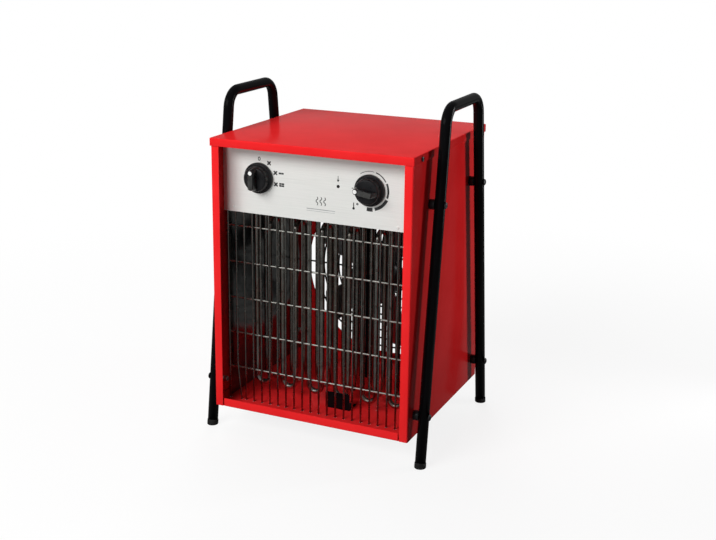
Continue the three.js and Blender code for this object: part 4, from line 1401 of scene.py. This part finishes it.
def makeHeatMark():
    # three plain waves over two thin rules, in the middle of the plate
    waves = bmesh.new()
    radius, half = heatSet["radius"], heatSet["halfAngle"]
    for wave in range(heatSet["waves"]):
        x = (wave - 1) * heatSet["wavePitch"]
        for step, way in enumerate((1, -1, 1)):
            middle = 90 if way > 0 else 270
            part = bmesh.new()
            addArcMark(part, radius, radius + markSet["line"], middle - half, middle + half)
            shift = Matrix.Translation((x - way * heatSet["shift"], (1 - step) * heatSet["stepHeight"], 0))
            bmesh.ops.transform(part, matrix=shift, verts=part.verts)
            mergeInto(waves, part)
    makeMark("heat_symbol", waves, *heatSet["place"])
    rules = bmesh.new()
    for y, thick in heatSet["rules"]:
        addBarMark(rules, 0, y, heatSet["ruleWidth"], thick)
    makeMark("panel_rule", rules, *heatSet["rulePlace"], "greyPrint")


arrowSet = {"stemPlace": 0.0125, "stem": (0.0009, 0.0060), "headPlace": 0.0088, "head": 0.0024}


def makeResetMark():
    # a small arrow that points down at the button
    bm = bmesh.new()
    addBarMark(bm, 0, arrowSet["stemPlace"], *arrowSet["stem"])
    turn = Matrix.Translation((0, arrowSet["headPlace"], 0)) @ Matrix.Rotation(math.pi, 4, "Z")
    addFlatMark(bm, arrowSet["head"], turn, sides=3)
    makeMark("reset_arrow", bm, controlSet["resetX"], controlSet["height"])


makePowerMarks()
makeThermostatMarks()
makeHeatMark()
makeResetMark()

rivetSet = {
    "places": ((-0.142, 0.352), (0.125, 0.351)),
    "radius": 0.0024,
    "height": 0.0009,
    "sink": 0.0004,
    "dome": ((1, 0.2), (0.85, 0.65), (0.5, 0.93)),    # shares of radius and height
}


def makePanelRivets():
    radius, height, sink = rivetSet["radius"], rivetSet["height"], rivetSet["sink"]
    dome = [(radius * wide, height * tall) for wide, tall in rivetSet["dome"]]
    bm = bmesh.new()
    for x, z in rivetSet["places"]:
        addLathe(bm, [(0, -sink), (radius, -sink), *dome, (0, height)], towardsFront(x, z), steps=24)
    makePiece("panel_rivets", bm, "brushedPlate", "root")


makePanelRivets()
print("controls made")


# rear guard, fan and motor

guardSet = {
    "wire": 0.0014,
    "wireEdge": 0.0004,
    "outer": 0.150,
    "inner": 0.024,
    "pitch": 0.014,
    "rodGap": 0.0024,
    "stepsPerRadius": 640,
    "lug": 0.006,
    "lugThick": 0.0016,
    "lugEdge": (0.0003, 0.0004),
    "lugRing": 0.156,
    "screw": 0.0040,
    "screwHeight": 0.0036,
    "dome": ((0, 0.0015), (0.0004, 0.0005), (0.0016, 0)),    # taken off the screw's radius and height
}
guardLow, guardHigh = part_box("rear_guard")
ringY = guardHigh.y - guardSet["wire"]
rodY = ringY - guardSet["rodGap"]


def towardsBack(x, y, z):
    # stands a lathe shape on its side, with its top towards the back
    return Matrix.Translation((x, y, z)) @ Matrix.Rotation(-math.pi / 2, 4, "X")


def makeRearGuard():
    wire = guardSet["wire"]
    bm = bmesh.new()
    radius = guardSet["outer"]
    while radius >= guardSet["inner"] - touching:
        start = Matrix.Translation((radius, ringY, axisZ))
        ring = bmesh.ops.create_circle(bm, cap_ends=False, radius=wire, segments=12, matrix=start)["verts"]
        before = set(bm.verts) - set(ring)
        steps = max(32, int(radius * guardSet["stepsPerRadius"]))
        bmesh.ops.spin(bm, geom=ring + edgesOf(ring), cent=(0, ringY, axisZ), axis=(0, 1, 0), dvec=(0, 0, 0),
                       angle=math.tau, steps=steps, use_merge=True, use_duplicate=False)
        made = [vert for vert in bm.verts if vert not in before]
        bmesh.ops.remove_doubles(bm, verts=made, dist=touching)
        radius -= guardSet["pitch"]
    centre = Vector((0, rodY, axisZ))
    for arm in range(4):
        angle = arm * math.pi / 4
        reach = guardSet["outer"] if arm % 2 == 0 else guardSet["lugRing"]
        way = Vector((math.cos(angle), 0, math.sin(angle)))
        addRod(bm, centre - way * reach, centre + way * reach, wire, sides=14, soft=guardSet["wireEdge"])
    makePiece("guard_rings", bm, "blackPaint", "root", ["rear_guard"], smooth=50)


def makeGuardLugs():
    # each lug is a stamped washer plate under a pan head screw
    lug, thick, ring = guardSet["lug"], guardSet["lugThick"], guardSet["lugRing"]
    screw, top = guardSet["screw"], guardSet["screwHeight"]
    under, over = guardSet["lugEdge"]
    points = [(0, 0), (lug - under, 0), (lug, under), (lug, thick - over), (lug - over, thick)]
    points.append((screw, thick))
    points += [(screw - inwards, top - lower) for inwards, lower in guardSet["dome"]]
    points.append((0, top))
    bm = bmesh.new()
    for corner in range(4):
        angle = math.pi / 4 + corner * math.pi / 2
        place = towardsBack(ring * math.cos(angle), guardLow.y, axisZ + ring * math.sin(angle))
        addLathe(bm, points, place, steps=32)
    makePiece("guard_lugs", bm, "darkBolt", "root")


makeRearGuard()
makeGuardLugs()

fanSet = {
    "hub": 0.028,
    "length": 0.018,
    "bore": 0.0043,
    "overShaft": 0.0006,
    "edge": 0.001,
    "nose": 0.004,
    "wallShare": 0.78,
    "groove": (0.6, 0.52, 0.34, 0.3),    # shares of the hub's radius
    "grooveDepth": 0.0025,
    "blades": 5,
    "bladeRoot": 0.8,
    "tip": 0.127,
    "tipRound": 0.09,
    "rootWidth": 0.034,
    "tipWidth": 0.058,
    "thickness": 0.0016,
    "pitch": 25,
    "camber": 0.0035,
    "camberAtRoot": 0.4,
}


def makeFan():
    hub, length, bore = fanSet["hub"], fanSet["length"], fanSet["bore"]
    edge, nose = fanSet["edge"], fanSet["nose"]
    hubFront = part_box("motor_shaft")[1].y + fanSet["overShaft"] - length
    points = [(bore, 0), (hub - edge, 0), (hub, edge), (hub, length * fanSet["wallShare"])]
    points += arc((hub - nose, length - nose), nose, 0, 90, 6)
    depths = (0, fanSet["grooveDepth"], fanSet["grooveDepth"], 0)
    points += [(hub * share, length - depth) for share, depth in zip(fanSet["groove"], depths)]
    points += [(bore, length), (bore, 0)]
    bm = bmesh.new()
    addLathe(bm, points, towardsBack(0, hubFront, axisZ), steps=60)
    for blade in range(fanSet["blades"]):
        addBlade(bm, math.tau * blade / fanSet["blades"], hubFront + length / 2)
    makePiece("fan_wheel", bm, "fanSheet", "fan", ["fan"], smooth=40)


def addBlade(bm, angle, centreY):
    # a grid bent into a cambered blade with a round tip, thickened and turned into place
    blade = bmesh.new()
    bmesh.ops.create_grid(blade, x_segments=14, y_segments=10, size=0.5)
    root, tip = fanSet["hub"] * fanSet["bladeRoot"], fanSet["tip"]
    start = fanSet["camberAtRoot"]
    for vert in blade.verts:
        along, across = vert.co.x + 0.5, vert.co.y * 2
        width = fanSet["rootWidth"] + (fanSet["tipWidth"] - fanSet["rootWidth"]) * along
        reach = tip - (tip - root) * fanSet["tipRound"] * across ** 2
        vert.co.x = root + (reach - root) * along
        vert.co.y = across * width / 2
        vert.co.z = fanSet["camber"] * (1 - across ** 2) * (start + (1 - start) * along)
    bmesh.ops.solidify(blade, geom=blade.faces[:], thickness=fanSet["thickness"])
    bmesh.ops.recalc_face_normals(blade, faces=blade.faces)
    pitch = Matrix.Rotation(math.radians(fanSet["pitch"]), 4, "X")
    lower = Matrix.Translation((0, 0, -fanSet["camber"] / 2))
    place = towardsBack(0, centreY, axisZ) @ Matrix.Rotation(angle, 4, "Z")
    bmesh.ops.transform(blade, matrix=place @ pitch @ lower, verts=blade.verts)
    mergeInto(bm, blade)


makeFan()

motorSet = {
    "edge": 0.006,
    "floorShare": 0.72,
    "seamShare": 0.32,
    "seamHalf": 0.0008,
    "seamDepth": 0.0006,
    "nose": 0.017,
    "noseLength": 0.005,
    "noseRoot": 0.002,
    "noseEdge": 0.001,
    "bore": 0.0045,
    "boreShare": 0.6,
}


def makeMotor():
    # a can with two rolled seams and a bearing nose
    low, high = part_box("motor_body")
    radius, edge = (high.x - low.x) / 2, motorSet["edge"]
    nose, noseEdge, bore = motorSet["nose"], motorSet["noseEdge"], motorSet["bore"]
    length = high.y - low.y - motorSet["noseLength"]
    end = length + motorSet["noseLength"]
    points = [(0, 0), (radius * motorSet["floorShare"], 0), *arc((radius - edge, edge), edge, -90, 0, 6)]
    half, sunk = motorSet["seamHalf"], radius - motorSet["seamDepth"]
    seam = length * motorSet["seamShare"]
    for place in (seam, length - seam):
        points += [(radius, place - half), (sunk, place - half / 2)]
        points += [(sunk, place + half / 2), (radius, place + half)]
    points += arc((radius - edge, length - edge), edge, 0, 90, 6)
    points += [(nose + motorSet["noseRoot"], length), (nose, length + noseEdge), (nose, end - noseEdge)]
    points += [(nose - noseEdge, end), (bore, end), (bore, length * motorSet["boreShare"])]
    points.append((0, length * motorSet["boreShare"]))
    bm = bmesh.new()
    addLathe(bm, points, towardsBack(0, low.y, axisZ), steps=72)
    makePiece("motor_can", bm, "motorCase", "root", ["motor_body"], smooth=40)


makeMotor()
print("fan and motor made")


# cable gland

glandSet = {
    "gap": 0.0003,
    "bore": 0.0065,
    "boreEdge": 0.0012,
    "thread": 0.0115,
    "threadEdge": (0.0002, 0.0004),
    "hexagon": 0.016,
    "hexagonThick": 0.005,
    "hexagonEdge": 0.0006,
    "hexagonHole": 0.0117,
    "capShare": 0.86,
    "capLength": 0.017,
    "neck": 0.0006,
    "neckSink": 0.001,
    "capEdge": 0.0012,
    "dome": ((1, 0.58), (0.97, 0.68), (0.74, 0.95), (0.66, 1)),    # shares of radius and length
    "ribs": 12,
    "rib": 0.0009,
    "ribEdge": 0.0003,
    "ribSink": 0.0002,
    "ribStart": 0.0015,
    "ribShare": 0.55,
}


def makeGland():
    # a domed cap with grip ribs on a threaded body, and the hexagon against the panel
    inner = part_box("cable_gland")[0].y
    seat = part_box("rear_panel")[1].y + glandSet["gap"]
    base = seat + glandSet["hexagonThick"]
    bore, thread = glandSet["bore"], glandSet["thread"]
    threadIn, threadUp = glandSet["threadEdge"]
    cap, length = glandSet["hexagon"] * glandSet["capShare"], glandSet["capLength"]
    neck, neckBase = cap - glandSet["neck"], base - glandSet["neckSink"]
    edge = glandSet["boreEdge"]
    points = [(bore, inner), (thread - threadIn, inner), (thread, inner + threadUp), (thread, neckBase)]
    points += [(neck, neckBase), (neck, base + glandSet["neck"]), (cap, base + glandSet["capEdge"])]
    points += [(cap * wide, base + length * tall) for wide, tall in glandSet["dome"]]
    points += [(bore + edge, base + length), (bore, base + length - edge), (bore, inner)]
    bm = bmesh.new()
    addLathe(bm, points, towardsBack(glandX, 0, glandZ), steps=48)
    ribRing = cap - glandSet["ribSink"]
    start, end = base + glandSet["ribStart"], base + length * glandSet["ribShare"]
    for rib in range(glandSet["ribs"]):
        angle = math.tau * rib / glandSet["ribs"]
        x, z = glandX + ribRing * math.cos(angle), glandZ + ribRing * math.sin(angle)
        addRod(bm, (x, start, z), (x, end, z), glandSet["rib"], sides=10, soft=glandSet["ribEdge"])
    makePiece("gland_cap", bm, "blackPlastic", "root", ["cable_gland"], smooth=40)
    nut = bmesh.new()
    seatPlace, basePlace = (glandX, seat, glandZ), (glandX, base, glandZ)
    addRod(nut, seatPlace, basePlace, glandSet["hexagon"], sides=6, soft=glandSet["hexagonEdge"])
    hexagon = makePiece("gland_hexagon", nut, "blackPlastic", "root", smooth=30)
    hole = bmesh.new()
    fromY, toY = seat - sheetSet["through"], base + sheetSet["through"]
    addRod(hole, (glandX, fromY, glandZ), (glandX, toY, glandZ), glandSet["hexagonHole"], sides=48)
    cutAway(hexagon, hole, smooth=30)


makeGland()
print("gland made")


# kept CAD nodes: the finish of each and the width of its soft edges

keptSet = {
    "control_panel": ("brushedPlate", 0.0003),
    "control_tray": ("zincPlate", 0.0003),
    # the heat shield's very dark finish is painted shade for the inside
    "heat_shield": ("polishedSheetPaintedShade", 0.0002),
    "element_bracket": ("blackPaint", 0.0003),
    "motor_strap": ("blackPaint", 0.0004),
    "motor_shaft": ("zincPlate", 0.0004),
    "switch_shaft": ("zincPlate", 0.0003),
    "thermostat_shaft": ("zincPlate", 0.0003),
    "rotary_switch": ("creamPlastic", 0.0008),
    "thermostat_body": ("zincPlate", 0.0006),
    "thermostat_sensor": ("copper", 0.0),
    "thermal_cutout": ("creamPlastic", 0.0006),
    "gland_nut": ("blackPlastic", 0.0005),
    "terminal_block": ("creamPlastic", 0.0005),
    "contactor": ("creamPlastic", 0.0010),
}


def dressNode(name, material, edge):
    node = nodes[name]
    weld = node.modifiers.new("weld", "WELD")
    weld.merge_threshold = touching
    if edge:
        softenEdges(node, edge, segments=3, angle=32)
    node.data.materials.clear()
    node.data.materials.append(finish[material])


for name, (material, edge) in keptSet.items():
    dressNode(name, material, edge)
print("kept nodes dressed:", len(keptSet))

# render settings

scene.view_settings.view_transform = "Standard"
